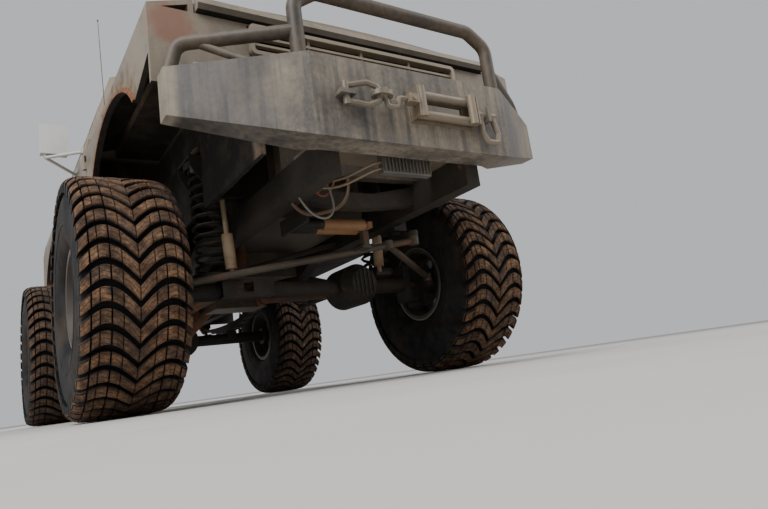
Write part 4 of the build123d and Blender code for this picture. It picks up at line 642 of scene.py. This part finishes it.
def put(name, shape, finish, body, *stands_for, sharp=SHARP_ANGLE):
    """Makes a piece of a bmesh."""
    return settled(name, closed_mesh(shape, sharp), finish, body, *stands_for)


def turned(shape, profile, place, axis, steps, closed=False):
    """Spins a profile of (along, radius) about an axis through a place."""
    place, axis = Vector(place), Vector(axis).normalized()
    side = axis.orthogonal().normalized()
    corners = [shape.verts.new(place + axis * along + side * radius) for along, radius in profile]
    ends = corners[1:] + corners[:1] if closed else corners[1:]
    edges = [shape.edges.new(pair) for pair in zip(corners, ends)]
    bmesh.ops.spin(shape, geom=corners + edges, cent=place, axis=axis, angle=2 * math.pi,
                   steps=steps, use_merge=True, use_duplicate=False)


def stick(shape, start, end, radius, steps=10):
    """A round bar from one place to another."""
    start, end = Vector(start), Vector(end)
    long = (end - start).length
    turned(shape, [(0.0, 0.0), (0.0, radius), (long, radius), (long, 0.0)],
           start, end - start, steps)


def bar(shape, size, place, bevel, lean):
    """A block with softened edges, leant about X, its middle at a place."""
    made = bmesh.ops.create_cube(shape, size=1.0)["verts"]
    bmesh.ops.scale(shape, vec=size, verts=made)
    edges = list({edge for corner in made for edge in corner.link_edges})
    rounded = bmesh.ops.bevel(shape, geom=edges, affect="EDGES", offset=bevel, segments=2,
                              profile=0.5, material=-1)
    made = list({corner for face in rounded["faces"] for corner in face.verts})
    bmesh.ops.transform(shape, matrix=Matrix.Rotation(lean, 4, "X"), verts=made)
    bmesh.ops.translate(shape, vec=place, verts=made)


def bolt(shape, place, facing, across):
    """A washer and a hexagon head, this wide, that stand on a surface."""
    washer = 0.0025
    turn = Vector(facing).to_track_quat("Z", "Y").to_matrix().to_4x4()
    # Corners, radius, bottom and top
    for corners, radius, low, high in (
        (16, across * 0.72, 0.0, washer),
        (6, across * 0.56, washer, across * 0.55),
    ):
        rise = Matrix.Translation((0.0, 0.0, (low + high) / 2))
        bmesh.ops.create_cone(shape, segments=corners, cap_ends=True, radius1=radius,
                              radius2=radius * 0.97, depth=high - low,
                              matrix=Matrix.Translation(place) @ turn @ rise)


def line(name, points, diameter, finish, body):
    """A pipe, wire or hose along one smooth curve that the points steer."""
    curve = bpy.data.curves.new(name, "CURVE")
    curve.dimensions = "3D"
    curve.bevel_depth = diameter / 2
    curve.bevel_resolution = 3
    curve.resolution_u = 12
    curve.use_fill_caps = True
    spline = curve.splines.new("NURBS")
    spline.points.add(len(points) - 1)
    for corner, place in zip(spline.points, points):
        corner.co = (*place, 1.0)
    spline.order_u = 3
    spline.use_endpoint_u = True
    curve.materials.append(finish)
    piece = linked(name, curve)
    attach(piece, body)
    return piece


def measure(table, place):
    """The value at a place, on straight runs between the table's (place, value) pairs."""
    for (low, first), (high, second) in zip(table, table[1:]):
        if place <= high:
            return first + (second - first) * max(0.0, place - low) / (high - low)
    return table[-1][1]


def on_windscreen(across, height, off):
    """A place at this height on the windscreen, and this far in front of it."""
    back = SCREEN_FOOT_Y + (height - SCREEN_FOOT_Z) * SCREEN_RUN / SCREEN_RISE
    return Vector((across, back, height)) + SCREEN_FACING * off


# The mud tyre. The UV map holds, for each point of a lug, its place across the lug's width,
# in metres, and its share of the lug's height
PLAN = "plan"

# Half of the carcass's section, as (across, radius)
CARCASS = [
    (0.144, 0.1925), (0.146, 0.209), (0.163, 0.216), (0.178, 0.238), (0.187, 0.268),
    (0.1895, 0.298), (0.1925, 0.301), (0.1925, 0.309), (0.1905, 0.312), (0.192, 0.350),
    (0.190, 0.385), (0.186, 0.415), (0.178, 0.438), (0.165, 0.455), (0.140, 0.466),
    (0.090, 0.4725), (0.030, 0.474),
]
# The radius of a lug's foot and of its face, as (across, radius)
LUG_FOOT = [(0.0, 0.470), (0.150, 0.462), (0.170, 0.448), (0.195, 0.428)]
LUG_FACE = [(0.0, 0.4992), (0.110, 0.4985), (0.155, 0.4945), (0.180, 0.484), (0.1945, 0.467)]
# The blocks that cuts part a lug into, as (start, stop) across
LUG_BLOCKS = [(0.0012, 0.055), (0.0575, 0.092), (0.097, 0.131), (0.1335, 0.157), (0.161, 0.1945)]
LUG_TALL = 0.028
LUG_TAPER = 0.93
LUG_BEVEL = 0.0025


def lug_block(shape, plan, start, stop, wide):
    """One block of a lug, laid flat: across is X, around is Y, and height is Z."""
    made = bmesh.ops.create_cube(shape, size=1.0)["verts"]
    bmesh.ops.scale(shape, vec=(stop - start, wide, LUG_TALL), verts=made)
    bmesh.ops.translate(shape, vec=((start + stop) / 2, 0.0, LUG_TALL / 2), verts=made)
    long = (stop - start) / 2
    lengthways = [edge for edge in {edge for corner in made for edge in corner.link_edges}
                  if abs(edge.verts[0].co.x - edge.verts[1].co.x) > long]
    bmesh.ops.subdivide_edges(shape, edges=lengthways, cuts=2, use_grid_fill=True)
    for corner in shape.verts:
        if not corner.tag and corner.co.z > LUG_TALL / 2:
            corner.co.y *= LUG_TAPER
    rim = [edge for edge in shape.edges
           if not edge.verts[0].tag and len(edge.link_faces) == 2
           and all(corner.co.z > LUG_TALL * 0.9 for corner in edge.verts)
           and any(face.normal.z < 0.5 for face in edge.link_faces)]
    bmesh.ops.bevel(shape, geom=rim, affect="EDGES", offset=LUG_BEVEL, segments=1, profile=0.5,
                    material=-1)
    for face in shape.faces:
        if not face.tag:
            for loop in face.loops:
                loop[plan].uv = (loop.vert.co.y, loop.vert.co.z / LUG_TALL)
            face.tag = True
    for corner in shape.verts:
        corner.tag = True


def bent_round(place, settings):
    """Where a place of the flat lug comes to lie on the tyre."""
    across, around, lift = place.x, place.y, place.z / LUG_TALL
    crest, rise = settings.crest_place, settings.crest_rise
    if across < crest:
        around += rise * math.sin(math.pi / 2 * across / crest)
    else:
        beyond = (across - crest) / (TYRE_HALF - crest)
        around += rise - settings.shoulder_fall * (1 - math.cos(math.pi / 2 * beyond))
    foot, face = measure(LUG_FOOT, across), measure(LUG_FACE, across)
    radius = foot + (face - foot) * lift
    turn = around / TYRE_R
    return across, -radius * math.cos(turn), radius * math.sin(turn)


def mud_tyre(settings):
    """A tyre round the X axis at the origin: a closed carcass and two rows of curved, cut lugs."""
    shape = bmesh.new()
    plan = shape.loops.layers.uv.new(PLAN)
    pitch = 2 * math.pi / settings.lug_count
    for start, stop in LUG_BLOCKS:
        lug_block(shape, plan, start, stop, settings.lug_width)
    for corner in shape.verts:
        corner.co = bent_round(corner.co, settings)
    mirrored = bmesh.ops.duplicate(shape, geom=shape.verts[:] + shape.edges[:] + shape.faces[:])
    corners = [part for part in mirrored["geom"] if isinstance(part, bmesh.types.BMVert)]
    bmesh.ops.scale(shape, vec=(-1.0, 1.0, 1.0), verts=corners)
    bmesh.ops.spin(shape, geom=shape.verts[:] + shape.edges[:] + shape.faces[:],
                   cent=(0.0, 0.0, 0.0), axis=(1.0, 0.0, 0.0), angle=2 * math.pi - pitch,
                   steps=settings.lug_count - 1, use_duplicate=True)
    profile = CARCASS + [(-across, radius) for across, radius in reversed(CARCASS)]
    turned(shape, profile, (0.0, 0.0, 0.0), (1.0, 0.0, 0.0),
           steps=settings.carcass_steps, closed=True)
    return shape


# Upholstery

PAD_CUTS = 15
PAD_CROWN = 0.022
PAD_SQUASH = 0.86
PAD_ROUNDING = 0.045    # how much a pad narrows towards its top and bottom edges
PAD_WAIST = 0.03        # how much its sides draw in between its corners
CHANNEL_DEEP, CHANNEL_WIDE = 0.012, 0.010


def cushion(name, size, place, lean, finish, channels):
    """A stuffed pad: crowned, drawn in between its corners, with sewn channels across it."""
    shape = bmesh.new()
    bmesh.ops.create_cube(shape, size=1.0)
    bmesh.ops.scale(shape, vec=size, verts=shape.verts)
    bmesh.ops.subdivide_edges(shape, edges=shape.edges[:], cuts=PAD_CUTS, use_grid_fill=True)
    wide, long, tall = (side / 2 for side in size)
    seams = [long * (2 * (number + 1) / (channels + 1) - 1) for number in range(channels)]
    for corner in shape.verts:
        x, y, z = corner.co
        over_x, over_y, over_z = (max(0.0, 1 - (at / half) ** 2)
                                  for at, half in ((x, wide), (y, long), (z, tall)))
        sewn = min(abs(y - seam) for seam in seams)
        dip = CHANNEL_DEEP * math.exp(-(sewn / CHANNEL_WIDE) ** 2) if z > tall * 0.9 else 0.0
        full = PAD_CROWN * (over_x * over_y) ** 0.5 if z > tall * 0.5 else 0.0
        narrowed = 1 - PAD_ROUNDING * (1 - over_z)
        corner.co = (x * (narrowed - PAD_WAIST * over_y), y * (narrowed - PAD_WAIST * over_x),
                     z * PAD_SQUASH + full - dip)
    for _ in range(2):
        bmesh.ops.smooth_vert(shape, verts=shape.verts, factor=0.5,
                              use_axis_x=True, use_axis_y=True, use_axis_z=True)
    leant = Matrix.Translation(place) @ Matrix.Rotation(lean, 4, "X")
    bmesh.ops.transform(shape, matrix=leant, verts=shape.verts)
    piece = put(name, shape, finish, "chassis", sharp=80.0)
    softened = piece.modifiers.new("softened", "SUBSURF")
    softened.levels = softened.render_levels = 1


# Settings

def setting_maker(kind, **fixed):
    """A function that makes properties of one kind."""
    def setting(name, description, default, **limits):
        return kind(name=name, description=description, default=default, **fixed, **limits)
    return setting


colour_setting = setting_maker(
    bpy.props.FloatVectorProperty, size=3, min=0.0, max=1.0, subtype="COLOR")
place_setting = setting_maker(
    bpy.props.FloatVectorProperty, size=3, subtype="TRANSLATION", unit="LENGTH")
length_setting = setting_maker(bpy.props.FloatProperty, min=0.0, unit="LENGTH")
angle_setting = setting_maker(bpy.props.FloatProperty, subtype="ANGLE", unit="ROTATION")
number_setting = setting_maker(bpy.props.FloatProperty)
count_setting = setting_maker(bpy.props.IntProperty)


class PaintSettings(bpy.types.PropertyGroup):
    """The colours of the paints and of the dirt."""
    dust: colour_setting("Dust", "Pale dust on most pieces", (0.36, 0.27, 0.17))
    dry_mud: colour_setting("Dry mud", "Mud splashed on the shocks", (0.20, 0.115, 0.055))
    rust: colour_setting("Rust", "Rust on the frame, axles and links", (0.24, 0.072, 0.018))
    body_shade: colour_setting(
        "Body, darker", "The body's paint where it is darkest", (0.110, 0.092, 0.070))
    body_pale: colour_setting(
        "Body, paler", "The body's paint where it is palest", (0.205, 0.171, 0.128))
    body_dust: colour_setting("Body dust", "Dust on the body's paint", (0.320, 0.258, 0.186))
    bumper_shade: colour_setting(
        "Bumper, darker", "The front bumper's paint where it is darkest", (0.011, 0.012, 0.016))
    bumper_pale: colour_setting(
        "Bumper, paler", "The front bumper's paint where it is palest", (0.026, 0.029, 0.038))
    bumper_dust: colour_setting("Bumper dust", "Dust on the front bumper", (0.290, 0.245, 0.186))
    tread_mud_wet: colour_setting(
        "Tread mud, wet", "Mud on the lugs where it is wet", (0.100, 0.047, 0.021))
    tread_mud_dry: colour_setting(
        "Tread mud, dry", "Mud on the lugs where it has dried", (0.400, 0.225, 0.118))


class TyreSettings(bpy.types.PropertyGroup):
    """The tread of the mud tyres."""
    lug_count: count_setting(
        "Lugs", "How many lugs each side of the tread has", 40, min=12, max=80)
    lug_width: length_setting("Lug width", "How wide a lug is, measured round the tyre", 0.056)
    crest_place: length_setting(
        "Crest place", "How far from the tread's middle a lug turns back", 0.112)
    crest_rise: length_setting(
        "Crest rise", "How far round the tyre a lug runs up to its crest", 0.085)
    shoulder_fall: length_setting(
        "Shoulder fall", "How far a lug falls back from its crest to the shoulder", 0.060)
    carcass_steps: count_setting(
        "Carcass steps", "How many facets the carcass has round it", 96, min=24)


class FittingSettings(bpy.types.PropertyGroup):
    """The small fittings on the body, the wheels and the front axle."""
    boot_folds: count_setting("Boot folds", "How many folds a damper boot has", 11, min=3)
    hoop_diameter: length_setting(
        "Hoop diameter", "Thickness of the hoops over the front springs", 0.026)
    pipe_diameter: length_setting("Pipe diameter", "Thickness of the oil cooler's pipes", 0.011)
    antenna_foot: place_setting(
        "Antenna foot", "Where the antenna stands on the wing", (-0.800, FRONT_Y + 0.42, 1.440))
    antenna_tip: place_setting(
        "Antenna tip", "Where the antenna ends", (-0.812, FRONT_Y + 0.44, 2.085))
    wiper_half: length_setting("Wiper half length", "Half the length of a wiper's blade", 0.235)
    nut_count: count_setting("Wheel nuts", "How many nuts hold a wheel", 6, min=3, max=10)
    nut_circle: length_setting(
        "Nut circle", "Radius of the circle that the wheel nuts stand on", 0.071)
    nut_across: length_setting("Nut width", "Width of a wheel nut", 0.021)


class SeatSettings(bpy.types.PropertyGroup):
    """The widths and places of the seats."""
    bucket_width: length_setting("Bucket width", "Width of a front seat", 0.48)
    bucket_offset: length_setting(
        "Bucket offset", "How far a front seat's middle is from the vehicle's", 0.38)
    bench_width: length_setting("Bench width", "Width of the rear bench", 1.14)


class StageSettings(bpy.types.PropertyGroup):
    """Where the camera stands, and the light."""
    camera_place: place_setting("Camera place", "Where the camera stands", (-1.371, -3.738, 0.03))
    azimuth: angle_setting(
        "Azimuth", "Which way the camera looks, turned from +Y towards +X", math.radians(34.8))
    elevation: angle_setting("Elevation", "How far the camera looks up", math.radians(11.0))
    roll: angle_setting("Roll", "How far the camera leans to its right", math.radians(8.0))
    focal_pixels: number_setting(
        "Focal length", "Focal length in pixels of the picture", 607.0, min=100.0)
    floor_colour: colour_setting("Floor colour", "Colour of the pale floor", (0.56, 0.53, 0.49))
    sky_strength: number_setting(
        "Sky strength", "Strength of the soft light all round", 0.72, min=0.0)


# The stage

FLOOR_HALF = 60.0
SKY_COLOUR = (0.80, 0.82, 0.86, 1.0)
LIGHTS_AIM = Vector((0.0, 0.0, 0.7))
# Name, place, size in metres and power in watts
LIGHTS = (
    ("key_light", (-4.5, -4.0, 6.0), 4.0, 520.0),
    ("fill_light", (5.0, -4.0, 5.0), 4.0, 150.0),
    ("back_light", (1.0, 6.0, 5.0), 5.0, 260.0),
)


def pale_floor(pale):
    """A wide floor in a faintly uneven colour."""
    shape = bmesh.new()
    bmesh.ops.create_grid(shape, x_segments=1, y_segments=1, size=FLOOR_HALF)
    mesh = bpy.data.meshes.new("floor")
    shape.to_mesh(mesh)
    shape.free()
    finish = Finish("pale_floor")
    tone = finish.noise(scale=2.0, detail=4.0).between(0.3, 0.7)
    colour = finish.blend(tone, shaded(pale, 0.94), pale)
    mesh.materials.append(finish.surface(colour, roughness=0.85))
    linked("floor", mesh)


def soft_lights(scene, strength):
    """Three area lights and an even sky."""
    for name, place, size, power in LIGHTS:
        light = bpy.data.lights.new(name, "AREA")
        light.size = size
        light.energy = power
        lamp = linked(name, light)
        lamp.location = place
        lamp.rotation_euler = (LIGHTS_AIM - Vector(place)).to_track_quat("-Z", "Y").to_euler()
    scene.world = bpy.data.worlds.new("soft_sky")
    scene.world.use_nodes = True
    backdrop = scene.world.node_tree.nodes["Background"]
    backdrop.inputs["Color"].default_value = SKY_COLOUR
    backdrop.inputs["Strength"].default_value = strength


def photo_camera(scene, settings):
    """The camera, where it sees the vehicle as the photograph does."""
    data = bpy.data.cameras.new("photo_camera")
    data.sensor_width = SENSOR_WIDE
    data.lens = SENSOR_WIDE * settings.focal_pixels / IMAGE_WIDE
    data.clip_start = 0.01
    camera = linked("photo_camera", data)
    camera.matrix_world = (
        Matrix.Translation(settings.camera_place)
        @ Matrix.Rotation(-settings.azimuth, 4, "Z")
        @ Matrix.Rotation(math.pi / 2 + settings.elevation, 4, "X")
        @ Matrix.Rotation(-settings.roll, 4, "Z")
    )
    scene.camera = camera


class OFFROAD_OT_stage(bpy.types.Operator):
    """Make the pale floor, the soft lights and the camera"""
    bl_idname = "offroad.stage"
    bl_label = "Stage"

    def execute(self, context):
        settings = context.scene.offroad_stage
        pale_floor(tuple(settings.floor_colour))
        soft_lights(context.scene, settings.sky_strength)
        photo_camera(context.scene, settings)
        return {"FINISHED"}


class OFFROAD_OT_finishes(bpy.types.Operator):
    """Paint every CAD piece that stays in view"""
    bl_idname = "offroad.finishes"
    bl_label = "Finishes"

    def execute(self, context):
        for name, nodes in NODE_FINISHES.items():
            material = finish_of(name)
            for node in nodes:
                materials = NODES[node].data.materials
                materials.clear()
                materials.append(material)
        return {"FINISHED"}


class OFFROAD_OT_tyres(bpy.types.Operator):
    """Mould the four mud tyres"""
    bl_idname = "offroad.tyres"
    bl_label = "Tyres"

    def execute(self, context):
        mould = closed_mesh(mud_tyre(context.scene.offroad_tyres))
        # End, place of its axle, and share of mud, which is smaller on the rear as painted shade
        for end, axle_y, shaded_mud_share in (("front", FRONT_Y, 1.0), ("rear", REAR_Y, 0.55)):
            rubber = tyre_rubber(f"tyre_rubber_{end}", axle_y, shaded_mud_share)
            for side, word in SIDES:
                mesh = mould.copy()
                mesh.transform(Matrix.Translation((side * TRACK_HALF, axle_y, AXLE_Z)))
                settled(f"mud_tyre_{end}_{word}", mesh, rubber,
                        f"wheel_{end}_{word}_body", f"tyre_{end}_{word}")
        bpy.data.meshes.remove(mould)
        return {"FINISHED"}


# A damper boot, as (along, radius): its foot, one fold by shares of its length, its collar
BOOT_START = -0.247
BOOT_FOOT = [(0.0, 0.0095), (0.0, 0.017)]
BOOT_FOLDS_START, BOOT_FOLDS_LONG = 0.002, 0.126
BOOT_FOLD = [(0.15, 0.0235), (0.5, 0.0245), (0.85, 0.0165)]
BOOT_COLLAR = [(0.130, 0.0185), (0.134, 0.0185), (0.134, 0.0095)]

# A hoop over a front spring, as (across, behind the axle, height)
SPRING_HOOP = [
    (0.530, -0.075, 1.050), (0.530, -0.075, 1.110), (0.515, -0.075, 1.165),
    (0.455, -0.075, 1.180), (0.395, -0.075, 1.165), (0.352, -0.075, 1.100),
    (0.340, -0.075, 0.960), (0.340, -0.075, 0.86),
]

# The upper cooler pipe runs this far above the lower one
PIPE_SHIFTS = (0.0, 0.026)
COOLER_PIPE = [
    (-0.074, -1.944, 0.792), (-0.105, -1.944, 0.788), (-0.155, -1.915, 0.765),
    (-0.200, -1.850, 0.748), (-0.245, -1.795, 0.752), (-0.296, -1.775, 0.762),
]

# Cords that hang behind the bumper: name, diameter, length, colour of the cover, route
WIRE_RED = (0.30, 0.020, 0.014)
CORDS = (
    ("signal_cable", 0.009, 0.467, (0.20, 0.20, 0.19), (
        (-0.280, -1.673, 0.900), (-0.262, -1.715, 0.902), (-0.235, -1.748, 0.835),
        (-0.205, -1.760, 0.750), (-0.200, -1.762, 0.672), (-0.245, -1.757, 0.636),
        (-0.310, -1.746, 0.672), (-0.335, -1.736, 0.731))),
    ("winch_wire_1", 0.007, 0.25, WIRE_RED, (
        (-0.200, -1.784, 0.900), (-0.200, -1.757, 0.892), (-0.212, -1.737, 0.815),
        (-0.242, -1.730, 0.752), (-0.282, -1.730, 0.762), (-0.296, -1.732, 0.805))),
    ("winch_wire_2", 0.007, 0.27, WIRE_RED, (
        (-0.165, -1.784, 0.890), (-0.165, -1.765, 0.872), (-0.178, -1.752, 0.800),
        (-0.212, -1.748, 0.740), (-0.262, -1.750, 0.735), (-0.296, -1.752, 0.790))),
    ("steering_hose", 0.015, 0.39, (0.100, 0.046, 0.022), (
        (-0.060, -1.664, 0.859), (-0.060, -1.668, 0.800), (-0.110, -1.674, 0.722),
        (-0.210, -1.674, 0.688), (-0.300, -1.670, 0.682), (-0.333, -1.666, 0.731))),
)


def damper_boot(folds, along):
    """A closed rubber bellows round a damper's rod."""
    step = BOOT_FOLDS_LONG / folds
    profile = BOOT_FOOT + [
        (BOOT_FOLDS_START + step * (fold + share), radius)
        for fold in range(folds) for share, radius in BOOT_FOLD] + BOOT_COLLAR
    shape = bmesh.new()
    turned(shape, profile, (BOOT_START, along, DAMPER_Z), (1.0, 0.0, 0.0), steps=28, closed=True)
    return shape


class OFFROAD_OT_underbody(bpy.types.Operator):
    """Add the damper boots, spring hoops, wires, hose and cooler pipes"""
    bl_idname = "offroad.underbody"
    bl_label = "Underbody fittings"

    def execute(self, context):
        settings = context.scene.offroad_fittings
        rubber = finish_of("rubber_boot")
        for number, along in enumerate(DAMPER_YS):
            boot = put(f"damper_boot_{number + 1}", damper_boot(settings.boot_folds, along),
                       rubber, None, sharp=60.0)
            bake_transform(boot)

        hoop_paint = finish_of("hoop_paint")
        for side, word in SIDES:
            points = [(side * x, FRONT_Y + y, z) for x, y, z in SPRING_HOOP]
            line(f"spring_hoop_{word}", points, settings.hoop_diameter, hoop_paint, "chassis")

        for name, diameter, length, colour, points in CORDS:
            cover = weathered(f"{name}_cover", colour, amount=0.35, roughness=0.5)
            line(name, points, diameter, cover, "chassis")

        pipe_tan = finish_of("pipe_tan")
        for number, shift in enumerate(PIPE_SHIFTS):
            points = [(x, y, z + shift) for x, y, z in COOLER_PIPE]
            line(f"cooler_pipe_{number + 1}", points, settings.pipe_diameter, pipe_tan, "chassis")
        return {"FINISHED"}


# The antenna, as (along, radius): its base and whip, then its tip from the far end backwards
ANTENNA_BASE = [
    (-0.012, 0.0), (-0.012, 0.019), (0.004, 0.019), (0.010, 0.016), (0.022, 0.009),
    (0.045, 0.006), (0.060, 0.0045), (0.062, 0.0022), (0.45, 0.0019),
]
ANTENNA_TIP = [(-0.012, 0.0016), (-0.010, 0.0042), (-0.004, 0.0046), (0.0, 0.0)]

# A wiper: its pivot and the middle of its blade, across
WIPERS = ((0.44, 0.10), (-0.12, -0.44))
WIPER_PIVOT = [(-0.012, 0.0), (-0.012, 0.013), (0.010, 0.012), (0.014, 0.007), (0.014, 0.0)]
PIVOT_Z, PIVOT_OFF = 1.515, 0.014
BLADE_Z, BLADE_OFF, BLADE_TILT = 1.575, 0.020, 0.015
ARM_R = 0.0048
BLADE_RODS = ((0.006, 0.0035), (0.013, 0.0048))     # off the glass, and radius

# A hub's cap, as (along, radius)
HUB_CAP = [
    (-0.002, 0.0), (-0.002, 0.049), (0.010, 0.049), (0.013, 0.041), (0.036, 0.038),
    (0.043, 0.031), (0.046, 0.012), (0.046, 0.0),
]


def antenna(foot, tip):
    """A whip with a stepped base and a small bead at its tip."""
    shape = bmesh.new()
    long = (tip - foot).length
    profile = ANTENNA_BASE + [(long + along, radius) for along, radius in ANTENNA_TIP]
    turned(shape, profile, foot, tip - foot, steps=16)
    return shape


def wipers(blade_half):
    """Two arms on their pivots, each with a blade of two rods."""
    shape = bmesh.new()
    for pivot, middle in WIPERS:
        hinge = on_windscreen(pivot, PIVOT_Z, PIVOT_OFF)
        turned(shape, WIPER_PIVOT, hinge, SCREEN_FACING, steps=14)
        stick(shape, hinge, on_windscreen(middle, BLADE_Z, BLADE_OFF), ARM_R)
        for off, radius in BLADE_RODS:
            stick(shape, on_windscreen(middle - blade_half, BLADE_Z + BLADE_TILT, off),
                  on_windscreen(middle + blade_half, BLADE_Z - BLADE_TILT, off),
                  radius, steps=8)
    return shape


def hub(side, axle_y, settings):
    """A hub's cap and the ring of wheel nuts behind it."""
    shape = bmesh.new()
    outwards = (side, 0.0, 0.0)
    turned(shape, HUB_CAP, (side * HUB_FACE_X, axle_y, AXLE_Z), outwards, steps=28)
    for number in range(settings.nut_count):
        turn = 2 * math.pi * (number + 0.5) / settings.nut_count
        bolt(shape, (side * DISC_FACE_X, axle_y + settings.nut_circle * math.cos(turn),
                     AXLE_Z + settings.nut_circle * math.sin(turn)), outwards, settings.nut_across)
    return shape


class OFFROAD_OT_trim(bpy.types.Operator):
    """Add the antenna, the wipers and the hub caps with their wheel nuts"""
    bl_idname = "offroad.trim"
    bl_label = "Body fittings"

    def execute(self, context):
        settings = context.scene.offroad_fittings
        black = finish_of("fitting_black")
        foot, tip = Vector(settings.antenna_foot), Vector(settings.antenna_tip)
        put("antenna", antenna(foot, tip), black, "chassis")
        put("wipers", wipers(settings.wiper_half), black, "chassis")
        cap_steel = finish_of("cap_steel")
        for end, axle_y in (("front", FRONT_Y), ("rear", REAR_Y)):
            for side, word in SIDES:
                put(f"hub_{end}_{word}", hub(side, axle_y, settings), cap_steel,
                    f"wheel_{end}_{word}_body")
        return {"FINISHED"}


# Where the front of the bucket seats and of the bench is
BUCKET_Y = FRONT_Y + 1.12
BENCH_Y = FRONT_Y + 1.93
# A seat's pads: length and thickness, middle behind the seat's front and its height, lean
# in degrees, sewn channels
PADS = (
    ("cushion", (0.46, 0.13), (0.235, 1.075), -2.0, 2),
    ("back", (0.60, 0.105), (0.553, 1.405), 78.5, 3),
)
# The frame under and behind them: narrower by, depth and height, middle as above, lean
SEAT_FRAME = (
    (0.08, (0.44, 0.13), (0.27, 0.94), 0.0),
    (0.10, (0.028, 0.56), (0.615, 1.36), -11.5),
)
SEAT_FRAME_BEVEL = 0.012


class OFFROAD_OT_seats(bpy.types.Operator):
    """Upholster the two front seats and the rear bench"""
    bl_idname = "offroad.seats"
    bl_label = "Seats"

    def execute(self, context):
        settings = context.scene.offroad_seats
        cloth = finish_of("seat_cloth")
        frames = bmesh.new()
        for seat, middle, wide, front in (
            ("driver", settings.bucket_offset, settings.bucket_width, BUCKET_Y),
            ("passenger", -settings.bucket_offset, settings.bucket_width, BUCKET_Y),
            ("rear", 0.0, settings.bench_width, BENCH_Y),
        ):
            for pad, size, (behind, height), lean, channels in PADS:
                cushion(f"{seat}_{pad}", (wide, *size), (middle, front + behind, height),
                        math.radians(lean), cloth, channels)
            for narrower, size, (behind, height), lean in SEAT_FRAME:
                bar(frames, (wide - narrower, *size), (middle, front + behind, height),
                    SEAT_FRAME_BEVEL, math.radians(lean))
        put("seat_frames", frames, finish_of("seat_plastic"), "chassis", "seats")
        return {"FINISHED"}


class OFFROAD_PT_panel(bpy.types.Panel):
    """The operators, in the order that they run"""
    bl_idname = "OFFROAD_PT_panel"
    bl_label = "Off-road 4x4"
    bl_space_type = "VIEW_3D"
    bl_region_type = "UI"
    bl_category = "Off-road 4x4"

    def draw(self, context):
        for step in STEPS:
            self.layout.operator(step.bl_idname)


STEPS = (OFFROAD_OT_stage, OFFROAD_OT_finishes, OFFROAD_OT_tyres, OFFROAD_OT_underbody,
         OFFROAD_OT_trim, OFFROAD_OT_seats)
SETTINGS = {
    "offroad_paint": PaintSettings,
    "offroad_tyres": TyreSettings,
    "offroad_fittings": FittingSettings,
    "offroad_seats": SeatSettings,
    "offroad_stage": StageSettings,
}
CLASSES = (*SETTINGS.values(), *STEPS, OFFROAD_PT_panel)


def register():
    for kind in CLASSES:
        bpy.utils.register_class(kind)
    for name, group in SETTINGS.items():
        setattr(bpy.types.Scene, name, bpy.props.PointerProperty(type=group))


def unregister():
    for name in SETTINGS:
        delattr(bpy.types.Scene, name)
    for kind in reversed(CLASSES):
        bpy.utils.unregister_class(kind)


def main():
    register()
    bpy.ops.offroad.stage()
    bpy.ops.offroad.finishes()
    bpy.ops.offroad.tyres()
    bpy.ops.offroad.underbody()
    bpy.ops.offroad.trim()
    bpy.ops.offroad.seats()


if __name__ == "__main__":
    main()
